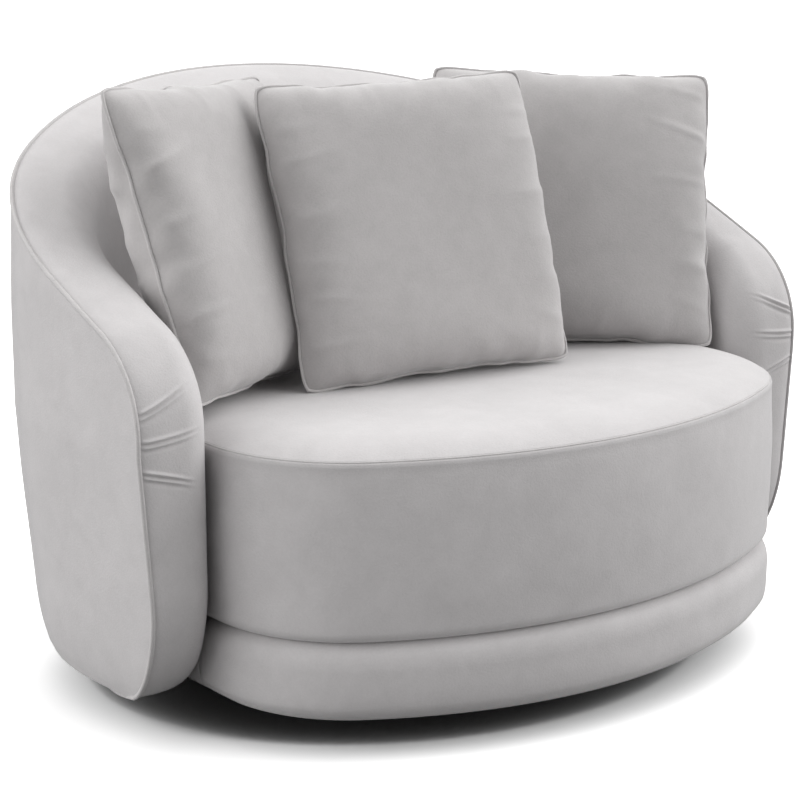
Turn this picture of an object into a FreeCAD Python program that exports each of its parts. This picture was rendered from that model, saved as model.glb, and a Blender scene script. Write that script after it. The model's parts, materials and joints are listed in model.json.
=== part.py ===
"""Swivel cuddle chair: a wide tub armchair with an oval drum seat and three scatter cushions.

The chair faces -Y. The origin lies on the floor, on the swivel axis, in the middle of the
chair's width and depth. All sizes are in millimetres.
"""
import FreeCAD, Part
import Sketcher
import math
import os

Vector = FreeCAD.Vector

SIZES = [
    # The whole chair
    ("overall_depth", 1000, "front of the seat border to the back of the tub"),
    ("tub_width", 1280, "widest place of the tub"),
    ("back_height", 865, "top of the back above the floor"),
    ("floor_gap", 52, "underside of the upholstery above the floor"),
    # Plan of the tub
    ("tub_side_radius", 420, "rounded back corners of the tub, outside"),
    ("tub_toe_radius", 1150, "gentle inward curve of the arms towards the front"),
    ("arm_setback", 285, "arm fronts behind the front of the seat border"),
    ("inside_width", 990, "between the arms"),
    ("inside_side_radius", 275, "rounded back corners of the tub, inside"),
    ("inside_arch_depth", 329, "depth of the rounded back of the tub, inside"),
    ("back_thick_low", 200, "thickness of the back at its foot"),
    ("back_thick_high", 135, "thickness of the back at its top"),
    # Side view of the tub
    ("crest_slope", 24.5, "slope of the arms down from the back, in degrees"),
    ("arm_corner_radius", 150, "rounded top corner of each arm front, in side view"),
    ("inside_edge_radius", 55, "soft inside edge of the arms and back"),
    ("outside_tuck", 58, "how far the outside draws in at its foot"),
    ("tuck_height", 348, "height over which the outside draws in"),
    ("crest_draw", 14, "how far the outside draws in at the top of the back"),
    # Covers and piping
    ("cover_thick", 3, "upholstery fabric with its lining"),
    ("path_step", 20, "between the points that the piping's line runs through"),
    ("path_stretch", 100, "length of each stretch of the piping"),
    ("piping_radius", 3.5, "piped seam round the tub"),
    # Seat cushion
    ("crease_height", 164, "joint between the seat cushion and the border below it"),
    ("seam_height", 415, "seam round the top edge of the seat cushion"),
    ("seat_crown", 22, "rise of the seat top above its seam"),
    ("seat_front_step", 6, "seat cushion behind the front of the border"),
    ("seat_oval_depth", 300, "length of the oval front of the seat"),
    ("seat_oval_radius", 230, "rounded front corners of the seat"),
    ("seat_bulge", 5, "how far the front band of the seat swells"),
    ("seat_foot_radius", 13, "rounded lower edge of the seat cushion"),
    ("seat_clearance", 1, "between the seat cushion and the arms or back"),
    ("seam_piping_radius", 1.8, "fine seam round the seat top"),
    ("seat_zip_length", 520, "zip across the rear of the seat band"),
    ("seat_zip_height", 112, "zip above the foot of the seat cushion"),
    ("zip_width", 8, "zips"),
    # Seat box and border
    ("board_thick", 18, "plywood"),
    ("rail_inset", 45, "rails of the seat box behind the face of the border"),
    ("rail_thick", 15, "rails of the seat box"),
    ("rail_height", 78, "rails of the seat box"),
    ("border_rear", -150, "where the border ends between the arms, in Y"),
    ("lining_thick", 2, "cloth under the deck, under the seat cushion and over the pad"),
    # Tub frame
    ("frame_inset", 66, "tub frame behind the widest outside face"),
    ("frame_depth", 45, "depth of the tub frame"),
    ("frame_drop", 75, "tub frame behind the arm fronts and below the top of the padding"),
    ("foot_set_back", 127, "deck and lower rail behind the arm fronts"),
    ("frame_clearance", 0.5, "between the tub frame and the padding"),
    ("post_width", 30, "posts of the tub frame"),
    ("strap_height", 50, "elastic webbing"),
    ("strap_thick", 2.5, "elastic webbing"),
    # Springs
    ("spring_wire_radius", 1.8, "zigzag spring wire"),
    ("spring_width", 46, "zigzag spring"),
    ("spring_pitch", 22, "one bar of a zigzag spring to the next"),
    ("spring_spacing", 150, "one zigzag spring to the next"),
    # Swivel base
    ("base_radius", 320, "round base board"),
    ("base_thick", 32, "round base board"),
    ("glide_height", 5, "rubber glides under the base board"),
    ("glide_radius", 18, "rubber glides"),
    ("glide_circle_radius", 280, "circle of the rubber glides"),
    ("plate_size", 280, "square swivel plates"),
    ("plate_thick", 3, "square swivel plates"),
    ("plate_hole_place", 120, "screw holes from the middle of a swivel plate, in X and in Y"),
    ("ball_circle_radius", 130, "circle of the bearing balls"),
    ("ball_radius", 4, "bearing balls"),
    ("race_gap", 4, "between the inner and the outer race"),
    ("race_width", 16, "each race"),
    ("race_clearance", 0.05, "bearing balls in their races and cage"),
    ("plate_bolt_radius", 4, "bolts of the upper swivel plate"),
    ("base_screw_radius", 2.5, "screws of the lower swivel plate"),
    ("deck_screw_radius", 2.5, "screws up through the deck"),
    ("deck_screw_length", 45, "screws up through the deck"),
    # Scatter cushions
    ("scatter_size", 450, "square scatter cushion without its piping"),
    ("scatter_thick", 126, "scatter cushion at its middle"),
    ("scatter_draw", 12, "how far the sides of a scatter cushion draw in"),
    ("scatter_corner", 12, "corner radius of a scatter cushion"),
    ("scatter_cover", 2, "cover of a scatter cushion"),
    ("scatter_piping_radius", 2.5, "piping of a scatter cushion"),
    ("scatter_zip_length", 340, "zip of a scatter cushion"),
    ("scatter_zip_height", 40, "zip above the foot of a scatter cushion, on its back"),
    ("rest_gap", 0.3, "between the seat cushion and the cloth that carries it"),
    ("scatter_gap", 0.6, "between a scatter cushion and the seat that carries it"),
]

doc = FreeCAD.newDocument("cuddle_chair")
sheet = doc.addObject("Spreadsheet::Sheet", "Sizes")
for row, (alias, value, words) in enumerate(SIZES, start=1):
    sheet.set("A%d" % row, words)
    sheet.set("B%d" % row, str(value))
    sheet.setAlias("B%d" % row, alias)
doc.recompute()


def mm(alias):
    """One size of the sheet as a number."""
    return float(sheet.get(alias))


# Heights and places that several pieces share
half_width = mm("tub_width") / 2
back_y = mm("overall_depth") / 2
border_front_y = -mm("overall_depth") / 2
seat_front_y = border_front_y + mm("seat_front_step")
seat_side_y = seat_front_y + mm("seat_oval_depth")
arm_front_y = border_front_y + mm("arm_setback")
inside_half = mm("inside_width") / 2
floor_gap = mm("floor_gap")
cover = mm("cover_thick")
deck_low = floor_gap + mm("lining_thick")
deck_high = deck_low + mm("board_thick")
rail_high = deck_high + mm("rail_height")
plate_low = mm("glide_height") + mm("base_thick")
ball_height = (plate_low + deck_low) / 2
slope = math.radians(mm("crest_slope"))
seam_inset = 4
far = 2 * mm("tub_width")
nodes = []


def keep(thing, label):
    """Note an object of the document as a finished sub-part."""
    thing.Label = label
    nodes.append(thing)
    return thing


def free_form(label, shape):
    """A sub-part whose shape is worked out here; a lone solid leaves its compound."""
    if shape.ShapeType == "Compound" and len(shape.Solids) == 1:
        shape = shape.Solids[0]
    thing = doc.addObject("Part::Feature", label)
    thing.Shape = shape
    thing.Placement = FreeCAD.Placement()
    return keep(thing, label)


# Curves in plan

def arc(start, middle, end):
    return Part.Arc(start, middle, end).toShape()


def line(start, end):
    return Part.LineSegment(start, end).toShape()


def arch_numbers(half, depth, side_radius):
    """End radius, its centre's depth and the angle where the side arc meets it.

    The arch has two side arcs of one radius and one wide end arc, tangent to each other.
    """
    run = half - side_radius
    end_radius = (run ** 2 + depth ** 2 - side_radius ** 2) / (2 * (depth - side_radius))
    end_centre = depth - end_radius
    return end_radius, end_centre, math.atan2(-end_centre, run)


def arch_edges(half, start_y, end_y, side_radius, height):
    """Three tangent arcs from (half, start_y) round by (0, end_y) to (-half, start_y)."""
    way = 1 if end_y > start_y else -1
    depth = abs(end_y - start_y)
    meet = arch_numbers(half, depth, side_radius)[2]

    def on_side(angle, side):
        x = half - side_radius + side_radius * math.cos(angle)
        return Vector(side * x, start_y + way * side_radius * math.sin(angle), height)

    return [arc(on_side(0, 1), on_side(meet / 2, 1), on_side(meet, 1)),
            arc(on_side(meet, 1), Vector(0, end_y, height), on_side(meet, -1)),
            arc(on_side(meet, -1), on_side(meet / 2, -1), on_side(0, -1))]


def arch_reach(x, half, depth, side_radius):
    """How far the arch reaches at a given x, measured from its start line."""
    end_radius, end_centre, meet = arch_numbers(half, depth, side_radius)
    x = abs(x)
    if x <= half - side_radius + side_radius * math.cos(meet):
        return end_centre + math.sqrt(end_radius ** 2 - x ** 2)
    return math.sqrt(side_radius ** 2 - (x - half + side_radius) ** 2)


def rear_reach(x, inset):
    """Y of the rear of the seat box at a given x, at the height of the deck."""
    inset += mm("seat_clearance")
    return inside_start(deck_high) + arch_reach(x, inside_half - inset,
                                                mm("inside_arch_depth") - inset,
                                                mm("inside_side_radius") - inset)


def tub_wire(height, inset, front_y):
    """Outside plan of the tub at one height: toe arcs, side arcs, back arc, front line."""
    half = half_width - inset
    toe = mm("tub_toe_radius")
    lean = math.asin(-front_y / toe)

    def on_toe(angle, side):
        return Vector(side * (half - toe + toe * math.cos(angle)), -toe * math.sin(angle), height)

    edges = [arc(on_toe(lean, 1), on_toe(lean / 2, 1), on_toe(0, 1))]
    edges += arch_edges(half, 0, back_y - inset, mm("tub_side_radius") - inset, height)
    edges += [arc(on_toe(0, -1), on_toe(lean / 2, -1), on_toe(lean, -1)),
              line(on_toe(lean, -1), on_toe(lean, 1))]
    return Part.Wire(edges)


def inside_back(height):
    """Y of the inside face of the back at one height: it leans back towards the top."""
    rise = (height - floor_gap) / (mm("back_height") - floor_gap)
    thick = mm("back_thick_low") + (mm("back_thick_high") - mm("back_thick_low")) * rise
    return back_y - thick


def inside_start(height):
    """Y at one height where the straight inside of the arms runs into the rounded back."""
    return inside_back(height) - mm("inside_arch_depth")


def inside_wire(height, grow, front_y):
    """Inside plan of the tub at one height, open towards the front."""
    half = inside_half + grow
    start = inside_start(height)
    edges = [line(Vector(half, front_y, height), Vector(half, start, height))]
    edges += arch_edges(half, start, inside_back(height) + grow,
                        mm("inside_side_radius") + grow, height)
    edges += [line(Vector(-half, start, height), Vector(-half, front_y, height)),
              line(Vector(-half, front_y, height), Vector(half, front_y, height))]
    return Part.Wire(edges)


def seat_wire(height, inset, front_y):
    """Plan of the seat: oval front, straight sides between the arms, round back."""
    half = inside_half - mm("seat_clearance") - inset
    start = inside_start(height)
    rear = inside_back(height) - mm("seat_clearance") - inset
    front = arch_edges(half, seat_side_y, front_y + inset, mm("seat_oval_radius") - inset, height)
    back = arch_edges(half, start, rear, mm("inside_side_radius") - mm("seat_clearance") - inset,
                      height)
    left = line(Vector(-half, seat_side_y, height), Vector(-half, start, height))
    right = line(Vector(half, start, height), Vector(half, seat_side_y, height))
    return Part.Wire(Part.__sortEdges__(front + [left] + back + [right]))


def border_wire(height, inset):
    """Plan of the border: the oval front, closed by a line between the arms."""
    half = inside_half - mm("seat_clearance") - inset
    rear = mm("border_rear")
    front = arch_edges(half, seat_side_y, border_front_y + inset,
                       mm("seat_oval_radius") - inset, height)
    sides = [line(Vector(-half, seat_side_y, height), Vector(-half, rear, height)),
             line(Vector(-half, rear, height), Vector(half, rear, height)),
             line(Vector(half, rear, height), Vector(half, seat_side_y, height))]
    return Part.Wire(Part.__sortEdges__(front + sides))


def upright(wire, height):
    """Solid straight up from a closed plan wire."""
    return Part.Face(wire).extrude(Vector(0, 0, height))


def block(x_low, x_high, y_low, y_high, z_low, z_high):
    return Part.makeBox(x_high - x_low, y_high - y_low, z_high - z_low,
                        Vector(x_low, y_low, z_low))


def halfspace_front(y):
    """Everything in front of a Y."""
    return block(-far, far, -far, y, -far, far)


# The tub wall

def outside_inset(height):
    """How far the outside face is drawn in at one height."""
    tuck_top = floor_gap + mm("tuck_height")
    low = max(0, (tuck_top - height) / mm("tuck_height")) ** 3
    high = max(0, (height - tuck_top) / (mm("back_height") - tuck_top)) ** 2
    return mm("outside_tuck") * low + mm("crest_draw") * high


def outside_block(inset):
    """Solid inside the outside face of the tub, with the taper at its foot."""
    tuck = mm("tuck_height")
    rise = mm("back_height") - floor_gap - tuck
    heights = [floor_gap + tuck * share for share in (0, 0.07, 0.17, 0.34, 0.6, 1)]
    heights += [floor_gap + tuck + rise * share for share in (0.35, 0.7, 1.08)]
    wires = [tub_wire(z, outside_inset(z) + inset, arm_front_y - cover * 20) for z in heights]
    return Part.makeLoft(wires, True, False)


def inside_block(grow, front_y):
    """Solid of the hollow between the arms and the back, on to a Y in front of them."""
    wires = [inside_wire(z, grow, front_y)
             for z in (floor_gap - cover, mm("back_height") * 1.05)]
    return Part.makeLoft(wires, True, True)


def crest_prism(drop):
    """Everything behind and below the arm fronts, their round corner and the sloping crest."""
    radius = mm("arm_corner_radius") - drop
    front = arm_front_y + drop
    corner_z = mm("back_height") - drop / math.cos(slope) - (back_y - front) * math.tan(slope)
    turn = math.pi / 2 - slope
    reach = radius * math.tan(turn / 2)
    centre = Vector(-far, front + radius, corner_z - reach)
    low = Vector(-far, front, corner_z - reach)
    high = Vector(-far, front + reach * math.cos(slope), corner_z + reach * math.sin(slope))
    middle = Vector(-far, centre.y - radius * math.cos(turn / 2),
                    centre.z + radius * math.sin(turn / 2))
    rear_y = 2 * back_y
    rear = Vector(-far, rear_y, corner_z + (rear_y - front) * math.tan(slope))
    foot_rear = Vector(-far, rear_y, floor_gap)
    foot_front = Vector(-far, front, floor_gap)
    outline = [line(foot_front, low), arc(low, middle, high), line(high, rear),
               line(rear, foot_rear), line(foot_rear, foot_front)]
    return Part.Face(Part.Wire(outline)).extrude(Vector(2 * far, 0, 0))


def side_faces(solid):
    """Faces of a block that stand upright, as one compound."""
    found = []
    for face in solid.Faces:
        u_low, u_high, v_low, v_high = face.ParameterRange
        if abs(face.normalAt((u_low + u_high) / 2, (v_low + v_high) / 2).z) < 0.9:
            found.append(face)
    return Part.makeCompound(found)


def crest_faces(prism):
    """Front, corner and sloping faces of the crest prism, as one compound."""
    found = []
    for face in prism.Faces:
        u_low, u_high, v_low, v_high = face.ParameterRange
        normal = face.normalAt((u_low + u_high) / 2, (v_low + v_high) / 2)
        if abs(normal.x) < 0.5 and normal.z > -0.5 and normal.y < 0.5:
            found.append(face)
    return Part.makeCompound(found)


def edges_between(solid, faces_a, faces_b):
    """Edges of a solid that run where two sets of faces meet."""
    near = 0.01
    found = []
    for edge in solid.Edges:
        middle = Part.Vertex(edge.valueAt((edge.FirstParameter + edge.LastParameter) / 2))
        if middle.distToShape(faces_a)[0] < near and middle.distToShape(faces_b)[0] < near:
            found.append(edge)
    return found


def tub_solid(skin):
    """The padded wall of the tub, taken in by a skin all round; flat at its foot."""
    hollow = inside_block(skin, arm_front_y - cover * 30)
    prism = crest_prism(skin)
    wall = outside_block(skin).cut(hollow).common(prism).Solids[0]
    inside_edges = edges_between(wall, side_faces(hollow), crest_faces(prism))
    return wall.makeFillet(mm("inside_edge_radius") - skin, inside_edges)


def frame_wall(outer, inner, front_y):
    """Upright wall between two insets of the outside plan, open at the front."""
    low = floor_gap
    height = mm("back_height")
    ring = upright(tub_wire(low, outer, front_y), height)
    return ring.cut(upright(tub_wire(low, inner, front_y - far / 10), height))


# Soft forms

def seat_loft(levels, skin, high_skin):
    """Loft through plans of the seat cushion, taken in by a skin.

    Each level is a height, an inset and a share of the front swell.
    """
    wires = []
    for place, (height, inset, swell) in enumerate(levels):
        lift = -high_skin if place == len(levels) - 1 else 0
        front = seat_front_y - swell * mm("seat_bulge")
        wires.append(seat_wire(height + lift, inset + skin, front))
    return Part.makeLoft(wires, True, False)


def seat_band(skin):
    """Band of the seat cushion: it swells gently and its lower edge is rounded."""
    low = mm("crease_height")
    seam = mm("seam_height")
    band = seat_loft([(low, 3, 0), ((low + seam) / 2, 0, 1), (seam, seam_inset, 0)], skin, 0)
    foot = [edge for edge in band.Edges if edge.BoundBox.ZMax < low + 0.01]
    return band.makeFillet(mm("seat_foot_radius"), foot)


def seat_top(skin):
    """Crown of the seat cushion above its seam."""
    seam = mm("seam_height")
    crown = mm("seat_crown")
    levels = [(0, seam_inset), (0.42, 22), (0.74, 55), (0.92, 105), (1, 170)]
    return seat_loft([(seam + crown * share, inset, 0) for share, inset in levels], skin, skin)


def border_loft(skin):
    """Loft of the rounded border under the seat cushion, taken in by a skin."""
    low = floor_gap
    tall = mm("crease_height") - 1 - low
    levels = [(0, 24), (0.06, 12), (0.17, 3), (0.4, 0), (0.7, 0), (0.86, 4), (0.95, 12),
              (1, 22)]
    wires = [border_wire(low + tall * share, inset + skin) for share, inset in levels]
    return Part.makeLoft(wires, True, False)


def scatter_wire(half, draw, corner, height):
    """Square with drawn-in sides and rounded corners, from eight tangent arcs."""
    side_radius = (half ** 2 + draw ** 2) / (2 * draw)
    side_centre = half - draw + side_radius
    # The corner centre lies on the diagonal, a side radius plus a corner radius away
    b = -side_centre
    c = (side_centre ** 2 - (side_radius + corner) ** 2) / 2
    corner_centre = (-b - math.sqrt(b ** 2 - 4 * c)) / 2
    share = side_radius / (side_radius + corner)
    touch = (corner_centre * share, side_centre + (corner_centre - side_centre) * share)
    tip = corner_centre + corner / math.sqrt(2)

    def turned(x, y, quarter):
        for step in range(quarter):
            x, y = -y, x
        return Vector(x, y, height)

    edges = []
    for quarter in range(4):
        edges.append(arc(turned(touch[0], touch[1], quarter),
                         turned(0, half - draw, quarter),
                         turned(-touch[0], touch[1], quarter)))
        edges.append(arc(turned(-touch[0], touch[1], quarter),
                         turned(-tip, tip, quarter),
                         turned(-touch[1], touch[0], quarter)))
    return Part.Wire(edges)


def scatter_half(skin):
    """One half of a scatter cushion, from its seam up to its crown: an ellipse in section."""
    half = mm("scatter_size") / 2 - skin
    thick = mm("scatter_thick") / 2 - skin
    wires = []
    for degrees in (0, 15, 30, 45, 60, 76):
        share = degrees / 76
        angle = math.radians(degrees)
        level_half = half * math.cos(angle)
        draw = mm("scatter_draw") * (1 - share) + 1
        corner = mm("scatter_corner") + (0.6 * level_half - mm("scatter_corner")) * share
        wires.append(scatter_wire(level_half, draw, corner, thick * math.sin(angle)))
    return Part.makeLoft(wires, True, False)


def tube(path_wire, radius):
    """Round tube along a tangent path, from a circle square to its first edge."""
    first = path_wire.OrderedEdges[0]
    start = first.valueAt(first.FirstParameter)
    along = first.tangentAt(first.FirstParameter)
    if first.Orientation == "Reversed":
        start = first.valueAt(first.LastParameter)
        along = first.tangentAt(first.LastParameter).negative()
    circle = Part.Wire(Part.Circle(start, along, radius).toShape())
    shell = Part.BRepOffsetAPI.MakePipeShell(path_wire)
    shell.add(circle)
    shell.build()
    shell.makeSolid()
    return shell.shape()


# Swivel base

def named_constraint(sketch, constraint, name, expression):
    number = sketch.addConstraint(constraint)
    sketch.renameConstraint(number, name)
    sketch.setExpression("Constraints.%s" % name, expression)


def origin_plane(body, role):
    return [plane for plane in body.Origin.OriginFeatures if plane.Role == role][0]


def new_sketch(body, name, role="XY_Plane", offset=None):
    sketch = body.newObject("Sketcher::SketchObject", name)
    sketch.AttachmentSupport = [(origin_plane(body, role), "")]
    sketch.MapMode = "FlatFace"
    if offset:
        sketch.setExpression("AttachmentOffset.Base.z", offset)
    return sketch


def circle_in(sketch, name, radius_expression):
    """Circle about the sketch's origin whose radius follows the sheet."""
    number = sketch.addGeometry(Part.Circle(Vector(0, 0, 0), Vector(0, 0, 1), 10), False)
    sketch.addConstraint(Sketcher.Constraint("Coincident", number, 3, -1, 1))
    named_constraint(sketch, Sketcher.Constraint("Radius", number, 10), name, radius_expression)


def square_in(sketch, name, size_expression):
    """Square about the sketch's origin whose side follows the sheet."""
    corners = [Vector(-10, -10, 0), Vector(10, -10, 0), Vector(10, 10, 0), Vector(-10, 10, 0)]
    lines = []
    for place in range(4):
        edge = Part.LineSegment(corners[place], corners[(place + 1) % 4])
        lines.append(sketch.addGeometry(edge, False))
    for place in range(4):
        sketch.addConstraint(Sketcher.Constraint("Coincident", lines[place], 2,
                                                 lines[(place + 1) % 4], 1))
    for place, way in zip(lines, ("Horizontal", "Vertical", "Horizontal", "Vertical")):
        sketch.addConstraint(Sketcher.Constraint(way, place))
    sketch.addConstraint(Sketcher.Constraint("Symmetric", lines[0], 1, lines[1], 2, -1, 1))
    named_constraint(sketch, Sketcher.Constraint("DistanceX", lines[0], 1, lines[0], 2, 20),
                     name + "_x", size_expression)
    named_constraint(sketch, Sketcher.Constraint("DistanceY", lines[1], 1, lines[1], 2, 20),
                     name + "_y", size_expression)


def pad(body, sketch, name, length_expression):
    feature = body.newObject("PartDesign::Pad", name)
    feature.Profile = sketch
    feature.setExpression("Length", length_expression)
    return feature


def pocket_through(body, sketch, name):
    """Cut a sketch's outline through the whole body, both ways."""
    feature = body.newObject("PartDesign::Pocket", name)
    feature.Profile = sketch
    feature.Type = 1
    feature.Midplane = True
    return feature


def patterned(body, feature, name, count):
    """Copies of a feature round the upright axis."""
    pattern = body.newObject("PartDesign::PolarPattern", name)
    pattern.Originals = [feature]
    pattern.Axis = (origin_plane(body, "Z_Axis"), [""])
    pattern.Angle = 360
    pattern.Occurrences = count
    body.Tip = pattern
    return pattern


def hole_at(body, name, x_expression, y_expression, radius_expression):
    """Round hole through a plate, at a place in X and Y."""
    sketch = new_sketch(body, name + "_sketch")
    number = sketch.addGeometry(Part.Circle(Vector(20, 20, 0), Vector(0, 0, 1), 2), False)
    named_constraint(sketch, Sketcher.Constraint("DistanceX", -1, 1, number, 3, 20),
                     "place_x", x_expression)
    named_constraint(sketch, Sketcher.Constraint("DistanceY", -1, 1, number, 3, 20),
                     "place_y", y_expression)
    named_constraint(sketch, Sketcher.Constraint("Radius", number, 2), "hole", radius_expression)
    return pocket_through(body, sketch, name)


def make_base_disc():
    """Round base board with a softened top edge, standing on its glides."""
    body = doc.addObject("PartDesign::Body", "base_disc")
    sketch = new_sketch(body, "base_outline", offset="Sizes.glide_height")
    circle_in(sketch, "outline", "Sizes.base_radius")
    pad(body, sketch, "board", "Sizes.base_thick")
    hole = hole_at(body, "screw_hole", "Sizes.plate_hole_place", "Sizes.plate_hole_place",
                   "Sizes.base_screw_radius")
    patterned(body, hole, "screw_holes", 4)
    return keep(body, "base_disc")


def race_ring(body, name, low_z, high_z, inner_radius, outer_radius):
    """Ring with a round groove for the balls, turned about the upright axis."""
    sketch = new_sketch(body, name + "_section", role="XZ_Plane")
    groove = mm("ball_radius") + mm("race_clearance")
    circle_x = mm("ball_circle_radius")
    outward = circle_x > outer_radius
    edge_x = outer_radius if outward else inner_radius
    other_x = inner_radius if outward else outer_radius
    side = 1 if outward else -1
    half_chord = math.sqrt(groove ** 2 - (circle_x - edge_x) ** 2)
    corners = [Vector(other_x, low_z, 0), Vector(edge_x, low_z, 0),
               Vector(edge_x, ball_height - half_chord, 0),
               Vector(edge_x, ball_height + half_chord, 0),
               Vector(edge_x, high_z, 0), Vector(other_x, high_z, 0)]
    deep = Vector(circle_x - side * groove, ball_height, 0)
    sketch.addGeometry(Part.LineSegment(corners[0], corners[1]), False)
    sketch.addGeometry(Part.LineSegment(corners[1], corners[2]), False)
    sketch.addGeometry(Part.Arc(corners[2], deep, corners[3]), False)
    sketch.addGeometry(Part.LineSegment(corners[3], corners[4]), False)
    sketch.addGeometry(Part.LineSegment(corners[4], corners[5]), False)
    sketch.addGeometry(Part.LineSegment(corners[5], corners[0]), False)
    ring = body.newObject("PartDesign::Revolution", name)
    ring.Profile = sketch
    ring.ReferenceAxis = (sketch, ["V_Axis"])
    ring.Angle = 360
    return ring


def make_swivel_plate(label, offset, ring_low, ring_high, ring_inner, hole_radius):
    """Square steel plate with a ball race and a screw hole near each corner."""
    body = doc.addObject("PartDesign::Body", label)
    sketch = new_sketch(body, label + "_outline", offset=offset)
    square_in(sketch, "side", "Sizes.plate_size")
    pad(body, sketch, label + "_sheet", "Sizes.plate_thick")
    race_ring(body, label + "_race", ring_low, ring_high, ring_inner,
              ring_inner + mm("race_width"))
    hole = hole_at(body, label + "_hole", "Sizes.plate_hole_place", "Sizes.plate_hole_place",
                   hole_radius)
    patterned(body, hole, label + "_holes", 4)
    return keep(body, label)


def ball_places():
    """Middle of each bearing ball."""
    circle = mm("ball_circle_radius")
    count = int(math.pi * circle / (2 * mm("ball_radius")))
    return [Vector(circle * math.cos(2 * math.pi * place / count),
                   circle * math.sin(2 * math.pi * place / count), ball_height)
            for place in range(count)]


def spheres(radius):
    return Part.makeCompound([Part.makeSphere(radius, place) for place in ball_places()])


def make_ball_ring():
    """Bearing balls, and the cage that spaces them between the races."""
    free_form("bearing_balls", spheres(mm("ball_radius")))
    middle = mm("ball_circle_radius")
    thick = mm("race_gap") / 2 - 0.6
    low = ball_height - mm("ball_radius") - 1
    tall = 2 * (mm("ball_radius") + 1)
    ring = Part.makeCylinder(middle + thick, tall, Vector(0, 0, low))
    ring = ring.cut(Part.makeCylinder(middle - thick, tall, Vector(0, 0, low)))
    radius = mm("ball_radius") + mm("race_clearance")
    for place in ball_places():
        outward = Vector(place.x, place.y, 0).normalize()
        pocket = Part.makeCylinder(radius, 4 * thick, place - outward * 2 * thick, outward)
        ring = ring.cut(pocket)
    free_form("ball_cage", ring)


def plate_corners():
    place = mm("plate_hole_place")
    return [(place, place), (-place, place), (-place, -place), (place, -place)]


def cylinders(label, places, radius_expression, height_expression, low_expression):
    """A group of upright cylinders whose sizes follow the sheet."""
    group = []
    for number, (x, y) in enumerate(places):
        cylinder = doc.addObject("Part::Cylinder", "%s_%d" % (label, number + 1))
        cylinder.setExpression("Radius", radius_expression)
        cylinder.setExpression("Height", height_expression)
        cylinder.Placement.Base = Vector(x, y, 0)
        cylinder.setExpression("Placement.Base.z", low_expression)
        group.append(cylinder)
    compound = doc.addObject("Part::Compound", label)
    compound.Links = group
    return keep(compound, label)


def make_glides():
    circle = mm("glide_circle_radius")
    places = [(circle * math.cos(math.radians(60 * n)), circle * math.sin(math.radians(60 * n)))
              for n in range(6)]
    return cylinders("base_glides", places, "Sizes.glide_radius", "Sizes.glide_height", "0 mm")


def screw(x, y, head_z, point_z, radius, head_radius, head_height):
    """Screw or bolt with a flat round head; the head lies beyond the point's other end."""
    low, high = min(head_z, point_z), max(head_z, point_z)
    shank = Part.makeCylinder(radius, high - low, Vector(x, y, low))
    head_low = head_z if head_z > point_z else head_z - head_height
    head = Part.makeCylinder(head_radius, head_height, Vector(x, y, head_low))
    return shank.fuse(head).removeSplitter()


def make_base_screws():
    """Screws through the lower swivel plate into the base board."""
    radius = mm("base_screw_radius")
    top = plate_low + mm("plate_thick")
    solids = [screw(x, y, top, mm("glide_height"), radius, 2 * radius, 2.5)
              for x, y in plate_corners()]
    free_form("base_screws", Part.makeCompound(solids))


def make_plate_bolts():
    """Bolts up through the upper swivel plate and the deck, and their tee nuts."""
    radius = mm("plate_bolt_radius")
    below = deck_low - mm("plate_thick")
    nut_wall = 1.5
    flange = 2
    bolts = []
    nuts = []
    for x, y in plate_corners():
        bolts.append(screw(x, y, below, deck_high + flange, radius, 1.8 * radius, 4))
        barrel = Part.makeCylinder(radius + nut_wall, mm("board_thick") - 4,
                                   Vector(x, y, deck_low + 4))
        plate = Part.makeCylinder(3 * radius, flange, Vector(x, y, deck_high))
        bore = Part.makeCylinder(radius + 0.05, 4 * mm("board_thick"), Vector(x, y, deck_low - 10))
        nuts.append(barrel.fuse(plate).cut(bore))
    free_form("swivel_bolts", Part.makeCompound(bolts))
    free_form("tee_nuts", Part.makeCompound(nuts))


# Seat box

def rail_wall(low, high):
    """Upright wall of the seat box, following the seat plan."""
    inset = mm("rail_inset")
    height = high - low
    thick = mm("rail_thick")
    outer = upright(seat_wire(low, inset, border_front_y), height)
    return outer.cut(upright(seat_wire(low, inset + thick, border_front_y), height))


def deck_plan(low, high):
    """Deck outline: the foot of the tub together with the foot of the border."""
    height = high - low
    front = arm_front_y + mm("foot_set_back")
    tub_part = upright(tub_wire(low, mm("frame_inset"), front), height)
    seat_part = upright(border_wire(low, mm("rail_inset") - 15), height)
    middle = upright(seat_wire(low, mm("rail_inset") - 15, border_front_y), height)
    return tub_part.fuse(seat_part).fuse(middle).removeSplitter()


def deck_screw_places():
    """Screws in the seat box rails: at the sides, at the front and at the rear."""
    inset = mm("rail_inset") + mm("rail_thick") / 2
    half = inside_half - mm("seat_clearance") - inset
    side = [(half, -60), (half, -150), (-half, -60), (-half, -150)]
    reach = arch_reach(200, half, seat_side_y - border_front_y - inset,
                       mm("seat_oval_radius") - inset)
    rear = rear_reach(150, inset)
    front = [(200, seat_side_y - reach), (-200, seat_side_y - reach)]
    return side + front + [(150, rear), (-150, rear)]


def deck_screws():
    radius = mm("deck_screw_radius")
    head = 3
    return [screw(x, y, deck_low + head, deck_low + mm("deck_screw_length"), radius,
                  1.8 * radius, head) for x, y in deck_screw_places()]


def make_deck(screws):
    """Plywood deck, drilled for the swivel bolts, the tee nuts and the screws."""
    deck = deck_plan(deck_low, deck_high)
    radius = mm("plate_bolt_radius") + 1.5
    for x, y in plate_corners():
        deck = deck.cut(Part.makeCylinder(radius, far, Vector(x, y, 0)))
    for part in screws:
        deck = deck.cut(part)
    return free_form("deck_board", deck)


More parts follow.
